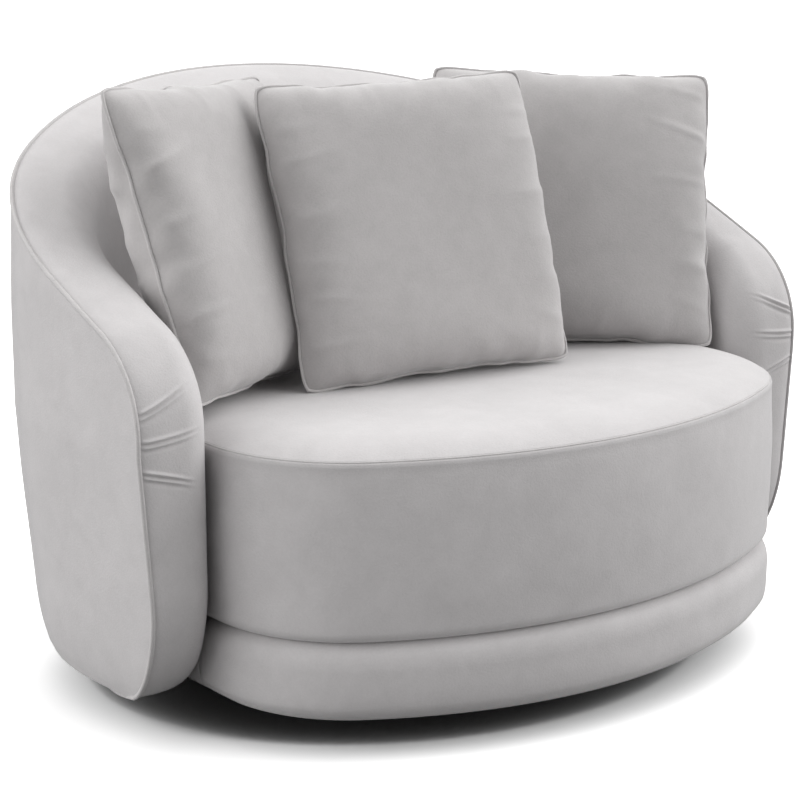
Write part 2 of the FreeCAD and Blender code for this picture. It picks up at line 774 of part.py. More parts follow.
def make_dust_cover():
    """Thin cloth under the deck, with a square opening for the swivel plate."""
    cloth = deck_plan(floor_gap, deck_low)
    half = mm("plate_size") / 2 + 6
    return free_form("dust_cover", cloth.cut(block(-half, half, -half, half, 0, far)))


def make_seat_rails(screws):
    """Four rails of the seat box: a bent front rail, two sides and a bent rear rail."""
    wall = rail_wall(deck_high, rail_high)
    for part in screws:
        wall = wall.cut(part)
    start = inside_start(deck_high)
    behind = block(-far, far, start, far, -far, far)
    middle = block(0, far, seat_side_y, start, -far, far)
    other = block(-far, 0, seat_side_y, start, -far, far)
    free_form("front_seat_rail", wall.common(halfspace_front(seat_side_y)))
    free_form("rear_seat_rail", wall.common(behind))
    free_form("right_seat_rail", wall.common(middle))
    free_form("left_seat_rail", wall.common(other))


def make_corner_blocks():
    """Glue blocks that tie the rails of the seat box together."""
    inner = inside_half - mm("seat_clearance") - mm("rail_inset") - mm("rail_thick")
    blocks = []
    for side in (-1, 1):
        for y in (seat_side_y, inside_start(deck_high)):
            low_x = inner - 22 if side > 0 else -inner
            blocks.append(block(low_x, low_x + 22, y - 28, y + 28, deck_high, rail_high - 14))
    inside = upright(seat_wire(deck_high, mm("rail_inset") + mm("rail_thick"), border_front_y),
                     mm("rail_height"))
    free_form("corner_blocks", Part.makeCompound(blocks).common(inside))


def spring_span(x):
    """Front and rear Y of a spring at one x, where its bars clear the rails."""
    inset = mm("rail_inset") + mm("rail_thick")
    x = abs(x) + mm("spring_width") / 2
    half = inside_half - mm("seat_clearance") - inset
    front = seat_side_y - arch_reach(x, half, seat_side_y - border_front_y - inset,
                                     mm("seat_oval_radius") - inset)
    return front, rear_reach(x, inset)


def spring_path(x, front, rear, height):
    """Zigzag of cross bars joined by quarter arcs, from the front rail to the rear rail."""
    pitch = mm("spring_pitch")
    radius = pitch / 2
    bar = mm("spring_width") / 2 - radius
    count = int((rear - front - 12) / pitch)
    y = (front + rear) / 2 - count * pitch / 2
    edges = []
    side = 1
    for step in range(count + 1):
        edges.append(line(Vector(x - side * bar, y, height), Vector(x + side * bar, y, height)))
        if step < count:
            centre = Vector(x + side * bar, y + radius, height)
            diagonal = radius / math.sqrt(2)
            edges.append(arc(Vector(centre.x, y, height),
                             Vector(centre.x + side * diagonal, centre.y - diagonal, height),
                             Vector(centre.x + side * radius, centre.y, height)))
            edges.append(arc(Vector(centre.x + side * radius, centre.y, height),
                             Vector(centre.x + side * diagonal, centre.y + diagonal, height),
                             Vector(centre.x, y + pitch, height)))
            y += pitch
            side = -side
    return Part.Wire(edges), (front + rear) / 2 - count * pitch / 2, y


def make_springs():
    """Zigzag springs from front to rear, and the clips that hold their end bars."""
    height = rail_high - mm("spring_wire_radius") - 0.2
    spacing = mm("spring_spacing")
    clip_half = 12
    springs = []
    clips = []
    for place in (-2, -1, 0, 1, 2):
        x = place * spacing
        front, rear = spring_span(x)
        path, first_y, last_y = spring_path(x, front, rear, height)
        wire = tube(path, mm("spring_wire_radius"))
        springs.append(wire)
        lean = 25
        front_clip = block(x - clip_half, x + clip_half, front - lean, first_y + 4,
                           height - 6, rail_high)
        rear_clip = block(x - clip_half, x + clip_half, last_y - 4, rear + lean,
                          height - 6, rail_high)
        clips += [front_clip.cut(wire), rear_clip.cut(wire)]
    inset = mm("rail_inset") + mm("rail_thick")
    inside = upright(seat_wire(deck_high, inset, border_front_y), mm("rail_height"))
    free_form("seat_springs", Part.makeCompound(springs))
    free_form("spring_clips", Part.makeCompound([clip.common(inside).Solids[0] for clip in clips]))


def make_platform():
    """Felt pad over the springs, and the cloth that the seat cushion lies on."""
    inset = mm("rail_inset") + mm("frame_clearance")
    cloth_low = mm("crease_height") - mm("rest_gap") - mm("lining_thick")
    thick = cloth_low - rail_high
    free_form("spring_pad", upright(seat_wire(rail_high, inset, border_front_y), thick))
    free_form("platform_cloth", upright(seat_wire(cloth_low, inset, border_front_y),
                                        mm("lining_thick")))


def make_border(deck):
    """Padding and cover of the rounded border under the seat cushion."""
    form = border_loft(0)
    padding = border_loft(cover)
    inner = upright(seat_wire(0, mm("rail_inset"), border_front_y), far)
    free_form("border_cover", form.cut(padding).cut(inner).cut(deck))
    free_form("border_foam", padding.cut(inner).cut(deck))


# Tub frame

def post_places():
    """Middle and turn of each post on the middle line of the tub frame."""
    middle = mm("frame_inset") + mm("frame_depth") / 2
    half = half_width - middle
    radius = mm("tub_side_radius") - middle
    end_radius, end_centre, meet = arch_numbers(half, back_y - middle, radius)
    places = []
    for degrees in (8, 38):
        angle = math.radians(degrees)
        x = half - radius + radius * math.cos(angle)
        y = radius * math.sin(angle)
        places += [(x, y, degrees), (-x, y, 180 - degrees)]
    for degrees in (64, 90, 116):
        angle = math.radians(degrees)
        places.append((end_radius * math.cos(angle), end_centre + end_radius * math.sin(angle),
                       degrees))
    return places


def make_tub_frame():
    """Bent rails, posts, arm panels and webbing inside the tub wall."""
    clearance = mm("frame_clearance")
    outer = mm("frame_inset") + clearance
    inner = mm("frame_inset") + mm("frame_depth") - clearance
    front = arm_front_y + mm("frame_drop") + clearance
    wall = frame_wall(outer, inner, front)
    drop = mm("frame_drop") + clearance
    under_crest = crest_prism(drop)
    under_rail = crest_prism(drop + mm("board_thick"))
    panel_rear = -5
    lower_top = deck_high + mm("board_thick")
    lower = wall.common(block(-far, far, arm_front_y + mm("foot_set_back"), far,
                              deck_high, lower_top))
    free_form("lower_tub_rail", lower)
    behind = block(-far, far, panel_rear, far, lower_top, far)
    free_form("top_tub_rail", wall.common(under_crest).cut(under_rail).common(behind))
    strap_room = mm("strap_thick") + clearance
    radial = mm("frame_depth") - 2 * clearance - strap_room
    posts = []
    for x, y, degrees in post_places():
        post = Part.makeBox(radial, mm("post_width"), far,
                            Vector(-radial / 2 + strap_room / 2, -mm("post_width") / 2, lower_top))
        post.rotate(Vector(0, 0, 0), Vector(0, 0, 1), degrees)
        post.translate(Vector(x, y, 0))
        posts.append(post.common(under_rail).common(wall).Solids[0])
    free_form("tub_posts", Part.makeCompound(posts))
    for label, side in (("left_arm_panel", -1), ("right_arm_panel", 1)):
        middle = half_width - outer - mm("frame_depth") / 2 - 4
        low_x = middle - mm("board_thick") / 2 if side > 0 else -middle - mm("board_thick") / 2
        board = block(low_x, low_x + mm("board_thick"), -far, panel_rear, lower_top, far)
        free_form(label, board.common(under_crest).common(
            block(-far, far, front, far, lower_top, far)))
    straps = frame_wall(inner - mm("strap_thick"), inner, front)
    straps = straps.common(block(-far, far, post_places()[0][1], far, -far, far))
    bands = []
    for share in (0.2, 0.48, 0.76):
        low = lower_top + share * (under_rail_height(drop) - lower_top) - mm("strap_height") / 2
        band = straps.common(block(-far, far, -far, far, low, low + mm("strap_height")))
        bands.append(band.Solids[0])
    free_form("back_webbing", Part.makeCompound(bands))


def under_rail_height(drop):
    """Underside of the top rail where the first posts stand."""
    full = drop + mm("board_thick")
    rise = (back_y - post_places()[0][1]) * math.tan(slope)
    return mm("back_height") - full / math.cos(slope) - rise


def make_tub_skins(deck):
    """Padding of the tub, its outside cover, its inside cover and its piping."""
    full = tub_solid(0)
    padding = tub_solid(cover)
    shell = outside_block(cover)
    inset = mm("frame_inset")
    pocket = frame_wall(inset, inset + mm("frame_depth"), arm_front_y)
    pocket = pocket.common(crest_prism(mm("frame_drop")))
    piping = tub_piping(full)
    free_form("tub_foam", padding.cut(pocket).cut(deck))
    free_form("outside_cover", full.cut(shell).cut(piping).cut(deck))
    free_form("inside_cover", full.common(shell).cut(padding).cut(piping).cut(deck))
    free_form("tub_piping", piping)


def tub_piping(full):
    """Piping along the outside edge, from one arm front's foot round to the other's."""
    edges = edges_between(full, side_faces(outside_block(0)), crest_faces(crest_prism(0)))
    edges = [edge for edge in edges if edge.Length > 1]
    return tube(smooth_path(Part.Wire(Part.__sortEdges__(edges))), mm("piping_radius"))


def smooth_path(wire):
    """One curve through points along a wire, in short stretches that run on smoothly."""
    count = round(wire.Length / mm("path_step"))
    curve = Part.BSplineCurve()
    curve.interpolate(wire.discretize(count))
    stretches = round(wire.Length / mm("path_stretch"))
    first, last = curve.FirstParameter, curve.LastParameter
    bounds = [first + (last - first) * k / stretches for k in range(stretches + 1)]
    edges = [curve.toShape(low, high) for low, high in zip(bounds, bounds[1:])]
    return Part.Wire(edges)


# Seat cushion

def make_seat_cushion():
    """Drum cushion: foam, band, crowned top panel, under cloth, fine seam and zip."""
    low = mm("crease_height")
    seam = tube(seat_wire(mm("seam_height"), seam_inset, seat_front_y), mm("seam_piping_radius"))
    band_core = seat_band(cover)
    top_core = seat_top(cover)
    band_skin = seat_band(0).cut(band_core)
    floor = block(-far, far, -far, far, 0, low + mm("lining_thick"))
    zip_half = mm("seat_zip_length") / 2
    zip_low = low + mm("seat_zip_height")
    zip_room = block(-zip_half, zip_half, 0, far, zip_low, zip_low + mm("zip_width"))
    free_form("seat_foam", band_core.fuse(top_core).cut(floor).cut(seam))
    free_form("seat_band_cover", band_skin.cut(seam).cut(zip_room))
    free_form("seat_top_cover", seat_top(0).cut(top_core).cut(seam))
    free_form("seat_under_cloth", band_core.common(floor))
    free_form("seat_seam", seam)
    free_form("seat_zip", band_skin.common(zip_room))


# Scatter cushions

SCATTERS = [
    # name, x and y of the middle of its foot, turn, lean and roll in degrees
    ("left", -274, -19, 28, 19, -2),
    ("centre", -43, -125, -9, 19, 1),
    ("right", 279, -58, -33, 22.5, -2.5),
]


def scatter_placement(x, y, turn, lean, roll):
    """Placement that stands a flat-lying cushion on its edge, rolls, leans and turns it."""
    half = mm("scatter_size") / 2
    in_plane = FreeCAD.Rotation(Vector(0, 0, 1), roll)
    upright_turn = FreeCAD.Rotation(Vector(1, 0, 0), 90 - lean)
    about = FreeCAD.Rotation(Vector(0, 0, 1), turn)
    rotation = about.multiply(upright_turn).multiply(in_plane)
    foot = mm("seam_height") + mm("scatter_size") / 4
    foot_point = rotation.multVec(Vector(0, -half, 0))
    return FreeCAD.Placement(Vector(x, y, foot) - foot_point, rotation)


def drop_to_seat(seam, placement, seat):
    """How far a cushion placed above the seat comes down until its piping rests there."""
    seam_height = mm("seam_height")
    drops = []
    for point in seam.discretize(240):
        place = placement.multVec(point)
        ray = line(Vector(place.x, place.y, seam_height - 1), Vector(place.x, place.y, 2 * far))
        below = ray.common(seat)
        if below.Edges:
            drops.append(place.z - below.BoundBox.ZMax)
    return min(drops) - mm("scatter_piping_radius") - mm("scatter_gap")


def make_scatter(name, x, y, turn, lean, roll, seat):
    """Filled pad, two cover panels, piping and zip of one scatter cushion."""
    skin = mm("scatter_cover")
    full = scatter_half(0)
    core = scatter_half(skin)
    flip = FreeCAD.Rotation(Vector(0, 1, 0), 180)

    def flipped(shape):
        other = shape.copy()
        other.Placement = FreeCAD.Placement(Vector(0, 0, 0), flip)
        return other

    radius = mm("scatter_piping_radius")
    seam = scatter_wire(mm("scatter_size") / 2 + 0.4 * radius, mm("scatter_draw") + 1,
                        mm("scatter_corner"), 0)
    piping = tube(seam, radius)
    panel = full.cut(core).cut(piping)
    panel_back = flipped(full).cut(flipped(core)).cut(piping)
    zip_half = mm("scatter_zip_length") / 2
    zip_low = mm("scatter_zip_height") - mm("scatter_size") / 2
    zipper = block(-zip_half, zip_half, zip_low, zip_low + mm("zip_width"), -far, 0)
    zipper = zipper.common(panel_back)
    pieces = [("pad", core.fuse(flipped(core)).cut(piping)), ("front_panel", panel),
              ("back_panel", panel_back.cut(zipper)), ("piping", piping), ("zip", zipper)]
    placement = scatter_placement(x, y, turn, lean, roll)
    placement.Base.z -= drop_to_seat(seam, placement, seat)
    matrix = placement.toMatrix()
    for piece, shape in pieces:
        free_form("%s_cushion_%s" % (name, piece), shape.transformed(matrix, True))


# The whole chair

def make_chair():
    make_base_disc()
    make_glides()
    lower_ring_inner = mm("ball_circle_radius") - mm("race_gap") / 2 - mm("race_width")
    upper_ring_inner = mm("ball_circle_radius") + mm("race_gap") / 2
    plate = mm("plate_thick")
    make_swivel_plate("lower_swivel_plate", "Sizes.glide_height + Sizes.base_thick",
                      plate_low + plate, deck_low - plate - 1, lower_ring_inner,
                      "Sizes.base_screw_radius")
    make_swivel_plate("upper_swivel_plate",
                      "Sizes.floor_gap + Sizes.lining_thick - Sizes.plate_thick",
                      plate_low + plate + 1, deck_low - plate, upper_ring_inner,
                      "Sizes.plate_bolt_radius")
    make_ball_ring()
    make_base_screws()
    make_plate_bolts()
    screws = deck_screws()
    deck = deck_plan(0, deck_high)
    make_deck(screws)
    make_dust_cover()
    free_form("deck_screws", Part.makeCompound(screws))
    make_seat_rails(screws)
    make_corner_blocks()
    make_springs()
    make_platform()
    make_border(deck)
    make_tub_frame()
    make_tub_skins(deck)
    make_seat_cushion()
    seat = seat_top(0)
    for name, x, y, turn, lean, roll in SCATTERS:
        make_scatter(name, x, y, turn, lean, roll, seat)


def check_and_write():
    """Refuse a failed or empty piece, then write each piece to its own file."""
    doc.recompute()
    for thing in doc.Objects:
        if "Invalid" in thing.State or "Error" in thing.State:
            raise RuntimeError("%s failed: %s" % (thing.Label, thing.State))
    for thing in nodes:
        if thing.Shape.isNull() or not thing.Shape.isValid() or not thing.Shape.Solids:
            raise RuntimeError("%s has no valid solid" % thing.Label)
    os.makedirs("parts", exist_ok=True)
    for thing in nodes:
        thing.Shape.exportStep(os.path.join("parts", thing.Label + ".step"))
        print("%-26s %3d solids %12.0f mm3" % (thing.Label, len(thing.Shape.Solids),
                                             thing.Shape.Volume))


make_chair()
check_and_write()
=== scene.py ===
"""Looks of the swivel cuddle chair: velvet covers, piping, cushions, fittings, stage and camera."""
import bpy
import json
import numpy as np
from mathutils import Matrix, Vector


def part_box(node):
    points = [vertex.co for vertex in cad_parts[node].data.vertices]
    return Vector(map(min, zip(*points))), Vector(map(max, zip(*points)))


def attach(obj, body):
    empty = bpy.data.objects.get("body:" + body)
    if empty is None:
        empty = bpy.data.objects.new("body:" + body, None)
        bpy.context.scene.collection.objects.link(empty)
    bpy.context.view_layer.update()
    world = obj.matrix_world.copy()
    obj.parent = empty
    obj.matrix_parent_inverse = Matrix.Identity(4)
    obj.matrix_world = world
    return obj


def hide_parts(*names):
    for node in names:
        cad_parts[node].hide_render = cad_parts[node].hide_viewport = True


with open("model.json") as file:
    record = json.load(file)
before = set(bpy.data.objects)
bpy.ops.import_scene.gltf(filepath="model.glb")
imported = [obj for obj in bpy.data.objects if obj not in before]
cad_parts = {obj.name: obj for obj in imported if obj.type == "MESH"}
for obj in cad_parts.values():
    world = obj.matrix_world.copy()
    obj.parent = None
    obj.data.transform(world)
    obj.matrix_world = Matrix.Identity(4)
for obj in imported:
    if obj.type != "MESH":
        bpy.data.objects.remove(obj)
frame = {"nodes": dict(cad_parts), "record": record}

bl_info = {
    "name": "Cuddle chair",
    "version": (1, 0, 0),
    "blender": (4, 5, 0),
    "location": "View3D > Sidebar > Chair",
    "description": "Builds the soft and fitted surfaces of a swivel cuddle chair",
    "category": "Object",
}

MM = 0.001


# Sizes of the tub in millimetres: Y runs to the back and Z up, from the floor under the middle
CREST_SLOPE = np.radians(24.5)
CORNER_RADIUS = 150.0
CORNER_Y = -65.0
CORNER_Z = 442.7
FLOOR_GAP = 52.0
BACK_HEIGHT = 865.0
ARM_FRONT = -215.0
SWEEP_DEPTH = 124.0
SWEEP_HEIGHT = 175.0
OUTSIDE_HALF = 628.0
TOE_RADIUS = 2889.0
INSIDE_HALF = 495.0
INSIDE_ARCH = 329.0
INSIDE_RADIUS = 275.0
OUTSIDE_DEPTH = 500.0
OUTSIDE_RADIUS = 412.0
LEAN = 0.075
LEAN_TOP = 420.0
FOOT_DRAW = 20.0
FOOT_DRAW_HEIGHT = 98.0
TOP_DRAW = 14.0
TOP_DRAW_FROM = 400.0
INSIDE_DEPTH = 300.0
INSIDE_LEAN = 65.0
FOOT_LENGTH = CORNER_Z - FLOOR_GAP
CORNER_TURN = np.pi / 2 - CREST_SLOPE
CORNER_LENGTH = CORNER_RADIUS * CORNER_TURN
GATHERED_LENGTH = 78.0

# Gathers of the arm fronts: length along the top line at the piping and at the far end, bend
# and reach. None lies past the end given last.
GATHERS = ((424, 452, 10, 92), (388, 394, 4, 96), (349, 330, -6, 84))
GATHERS_END = 560.0

# Sizes of the seat cushion and of the border under it
SEAT_HALF = 494.0
SEAT_SIDE_Y = -194.0
SEAT_FRONT = 300.0
FRONT_RADIUS = 230.0
REAR_RADIUS = 274.0
SEAT_FOOT = 164.0
SEAM_HEIGHT = 415.0
BORDER_FRONT = 306.0
BORDER_REAR = -150.0
BORDER_HEIGHT = 111.0

# Sizes of the scatter cushions: across the seam, at the middle, and how far the sides draw in
CUSHION_SIZE = 452.0
CUSHION_THICK = 132.0
CUSHION_DRAW = 9.0
CUSHION_HALF = CUSHION_SIZE / 2

# Cloth simulation of the scatter cushions: points along a side, side and height in metres, steps
CLOTH_POINTS = 61
CLOTH_SIDE = 0.492
CLOTH_HEIGHT = 0.128
CLOTH_STEPS = 20

# Zips: one turn of the coil is four pitches; the cushion zips lie low on the back
ZIP_PITCH = 1.25
CUSHION_ZIP_HALF = 168.0
CUSHION_ZIP_HEIGHT = 40.0

# Camera: its place in metres, its heading from the +Y axis and its dip, in degrees
CAMERA_PLACE = (-2.056, -2.612, 1.140)
CAMERA_HEADING = 37.89
CAMERA_DIP = 12.96


# Shapes of the chair in numbers

def smooth(value):
    """Smooth step: three times the square less twice the cube, of the value held in 0 to 1."""
    value = np.clip(value, 0.0, 1.0)
    return value * value * (3 - 2 * value)


def ripple(a, b, seed):
    """Gentle cloth waves: five sine waves in seeded directions, 60 to 210 mm long, summed."""
    spread = np.random.default_rng(seed)
    total = np.zeros(np.broadcast(a, b).shape)
    for step in range(5):
        turn = spread.uniform(0, np.pi)
        length = 60 + 30 * step + spread.uniform(0, 30)
        phase = spread.uniform(0, 2 * np.pi)
        total += np.sin((a * np.cos(turn) + b * np.sin(turn)) * 2 * np.pi / length + phase)
    return total / 5


def tub_inset(z):
    """How far the outside of the tub draws in at a height: the sum of a straight lean, a quarter
    ellipse at the foot, and the square of the height above a level at the top."""
    lean = LEAN * np.clip(LEAN_TOP - z, 0, None)
    low = np.clip((FLOOR_GAP + FOOT_DRAW_HEIGHT - z) / FOOT_DRAW_HEIGHT, 0, 1)
    high = np.clip(z - TOP_DRAW_FROM, 0, None) / (BACK_HEIGHT - TOP_DRAW_FROM)
    return lean + FOOT_DRAW * (1 - np.sqrt(1 - low ** 2)) + TOP_DRAW * high ** 2


def inside_back(z):
    """Depth of the inside of the back, which leans: straight between its foot and its top."""
    return INSIDE_DEPTH + INSIDE_LEAN * (z - FLOOR_GAP) / (BACK_HEIGHT - FLOOR_GAP)


def arch(share, half, depth, radius):
    """Half an arch at shares of its length: a side arc running into one wide arc over the top.

    The wide arc's radius is (run^2 + depth^2 - radius^2) / (2 (depth - radius)), with run the
    half width less the side radius, so that the two arcs meet without a corner.
    """
    run = half - radius
    wide = (run ** 2 + depth ** 2 - radius ** 2) / (2 * (depth - radius))
    middle = depth - wide
    meet = np.arctan2(-middle, run)
    side_length = radius * meet
    length = share * (side_length + wide * (np.pi / 2 - meet))
    on_side = length < side_length
    angle = np.where(on_side, length / radius, meet + (length - side_length) / wide)
    x = np.where(on_side, run + radius * np.cos(angle), wide * np.cos(angle))
    y = np.where(on_side, radius * np.sin(angle), middle + wide * np.sin(angle))
    return x, y


def crest(length):
    """Top line of the arms and back in side view: height and depth, and the outward normal.

    A straight up the arm front, an arc of the corner radius, and then the straight slope.
    """
    turn = np.clip((length - FOOT_LENGTH) / CORNER_RADIUS, 0, CORNER_TURN)
    up = np.clip(length, None, FOOT_LENGTH)
    along = np.clip(length - FOOT_LENGTH - CORNER_LENGTH, 0, None)
    y = CORNER_Y - CORNER_RADIUS * np.cos(turn) + along * np.cos(CREST_SLOPE)
    z = FLOOR_GAP + up + CORNER_RADIUS * np.sin(turn) + along * np.sin(CREST_SLOPE)
    return y, z, -np.cos(turn), np.sin(turn)


def crest_length(y):
    """Length along the top line at a depth behind the arm front."""
    slope_start = CORNER_Y - CORNER_RADIUS * np.cos(CORNER_TURN)
    turn = np.arccos(np.clip((CORNER_Y - y) / CORNER_RADIUS, -1, 1))
    on_arc = FOOT_LENGTH + CORNER_RADIUS * np.minimum(turn, CORNER_TURN)
    return on_arc + np.clip(y - slope_start, 0, None) / np.cos(CREST_SLOPE)


def crest_height(y):
    """Height of the top line at a depth behind the arm front."""
    return crest(crest_length(y))[1]


def set_back(y, z):
    """Arm fronts sweep back at the foot: a quarter ellipse, shared out evenly between the front
    and the corner's depth."""
    rise = np.clip((FLOOR_GAP + SWEEP_HEIGHT - z) / SWEEP_HEIGHT, 0, 1)
    sweep = SWEEP_DEPTH * (1 - np.sqrt(1 - rise ** 2))
    kept = 1 - sweep / CORNER_RADIUS
    return np.where(y < CORNER_Y, CORNER_Y - (CORNER_Y - y) * kept, y)


def outer_half(y, z):
    """Half width of the outside of the tub ahead of its middle: an arc of the toe radius."""
    toe = TOE_RADIUS - np.sqrt(TOE_RADIUS ** 2 - np.minimum(y, 0) ** 2)
    return OUTSIDE_HALF - tub_inset(z) - toe


def outer_arch(share, z):
    """Outside of the tub behind its middle, at a share of the arch and a height."""
    inset = tub_inset(z)
    return arch(share, OUTSIDE_HALF - inset, OUTSIDE_DEPTH - inset, OUTSIDE_RADIUS - inset)


def inner_arch(share, z):
    """Inside of the tub's back at a share of the arch and a height."""
    x, y = arch(share, INSIDE_HALF, INSIDE_ARCH, INSIDE_RADIUS)
    return x, y + inside_back(z) - INSIDE_ARCH


def on_crest(plan, share):
    """Where an upright surface meets the top line: its height is halved in on twelve times."""
    z = np.full_like(share, 760.0)
    for _ in range(12):
        x, y = plan(share, z)
        z = 0.5 * z + 0.5 * crest_height(y)
    return x, y, z


def both_sides(grid):
    """A grid of the right half, carried on over the middle to its mirror image."""
    mirrored = grid[:, -2::-1] * np.array([-1.0, 1.0, 1.0])
    return np.concatenate([grid, mirrored], axis=1)


def normals(grid):
    """Unit normals of a grid of points, from its central differences."""
    across = np.gradient(grid, axis=1)
    down = np.gradient(grid, axis=0)
    cross = np.cross(across, down)
    return cross / np.maximum(np.linalg.norm(cross, axis=-1, keepdims=True), 1e-9)


def grid_faces(rows, columns, closed=False):
    """Quads of a grid whose points are stored row by row."""
    count = columns if closed else columns - 1
    i, j = np.meshgrid(np.arange(rows - 1), np.arange(count), indexing="ij")
    after = (j + 1) % columns
    corners = [i * columns + j, i * columns + after,
               (i + 1) * columns + after, (i + 1) * columns + j]
    return np.stack(corners, axis=-1).reshape(-1, 4)


def cap(ring, centre):
    """Triangles from a ring of points to its centre, as quads with their last corner doubled."""
    centres = np.full(len(ring), centre)
    return np.stack([ring, np.roll(ring, -1), centres, centres], axis=-1)


def cloth_shell(grid, outward, thick):
    """A sheet given thickness: the grid, a copy of it inwards, and the rim between them."""
    rows, columns, _ = grid.shape
    normal = normals(grid)
    middle = normal[rows // 2, columns // 4]
    if np.dot(middle, outward(grid[rows // 2, columns // 4])) < 0:
        normal = -normal
        grid = grid[:, ::-1]
        normal = normal[:, ::-1]
    inner = grid - thick * normal
    points = np.concatenate([grid.reshape(-1, 3), inner.reshape(-1, 3)])
    outer_faces = grid_faces(rows, columns)
    shift = rows * columns
    index = np.arange(shift).reshape(rows, columns)
    rim = np.concatenate([index[0], index[1:, -1], index[-1, -2::-1], index[-2:0:-1, 0]])
    following = np.roll(rim, -1)
    walls = np.stack([rim, rim + shift, following + shift, following], axis=-1)
    faces = np.concatenate([outer_faces, outer_faces[:, ::-1] + shift, walls])
    return points, faces


def facing_out(points, faces):
    """Turns the faces of a closed form outwards if its signed volume is negative."""
    a, b, c, d = (points[faces[:, k]] for k in range(4))
    volume = np.einsum("ij,ij->i", a, np.cross(b, c)) + np.einsum("ij,ij->i", a, np.cross(c, d))
    return faces[:, ::-1] if volume.sum() < 0 else faces


def tube(path, radius, closed=False, sides=10):
    """A round tube along a path: circles square to the path, carried along without twisting."""
    ahead = np.roll(path, -1, axis=0) - np.roll(path, 1, axis=0)
    if not closed:
        ahead[0] = path[1] - path[0]
        ahead[-1] = path[-1] - path[-2]
    ahead = ahead / np.linalg.norm(ahead, axis=1, keepdims=True)
    side = np.zeros_like(path)
    side[0] = np.cross(ahead[0], [0.0, 0.31, 0.95])
    for k in range(1, len(path)):
        side[k] = side[k - 1] - ahead[k] * np.dot(side[k - 1], ahead[k])
    side = side / np.linalg.norm(side, axis=1, keepdims=True)
    other = np.cross(ahead, side)
    angle = np.linspace(0, 2 * np.pi, sides, endpoint=False)
    ring = (np.cos(angle)[None, :, None] * side[:, None, :]
            + np.sin(angle)[None, :, None] * other[:, None, :])
    points = path[:, None, :] + radius * ring
    if closed:
        points = np.concatenate([points, points[:1]])
    faces = grid_faces(len(points), sides, closed=True)
    flat = points.reshape(-1, 3)
    if not closed:
        ring = np.arange(sides)
        last = len(flat) - sides
        faces = np.concatenate([faces, cap(ring[::-1], len(flat)), cap(last + ring, len(flat) + 1)])
        flat = np.concatenate([flat, path[:1], path[-1:]])
    return flat, facing_out(flat, faces)


def resample(path, gap):
    """Points of a path at even gaps along its length."""
    steps = np.linalg.norm(np.diff(path, axis=0), axis=1)
    place = np.concatenate([[0.0], np.cumsum(steps)])
    count = max(2, int(round(place[-1] / gap)) + 1)
    even = np.linspace(0, place[-1], count)
    return np.stack([np.interp(even, place, path[:, k]) for k in range(3)], axis=-1)


# Materials

class Value:
    """A shader number that can be added and multiplied like a plain one."""

    def __init__(self, shader, socket):
        self.shader = shader
        self.socket = socket

    def _math(self, operation, first, second):
        node = self.shader.node("ShaderNodeMath", operation=operation)
        self.shader.feed(node.inputs[0], first)
        self.shader.feed(node.inputs[1], second)
        return Value(self.shader, node.outputs[0])

    def __add__(self, other):
        return self._math("ADD", self, other)

    def __radd__(self, other):
        return self._math("ADD", other, self)

    def __sub__(self, other):
        return self._math("SUBTRACT", self, other)

    def __mul__(self, other):
        return self._math("MULTIPLY", self, other)

    def __pow__(self, other):
        return self._math("POWER", self, other)

    def highest(self, other):
        return self._math("MAXIMUM", self, other)

    def sine(self):
        return self._math("SINE", self, 0.0)


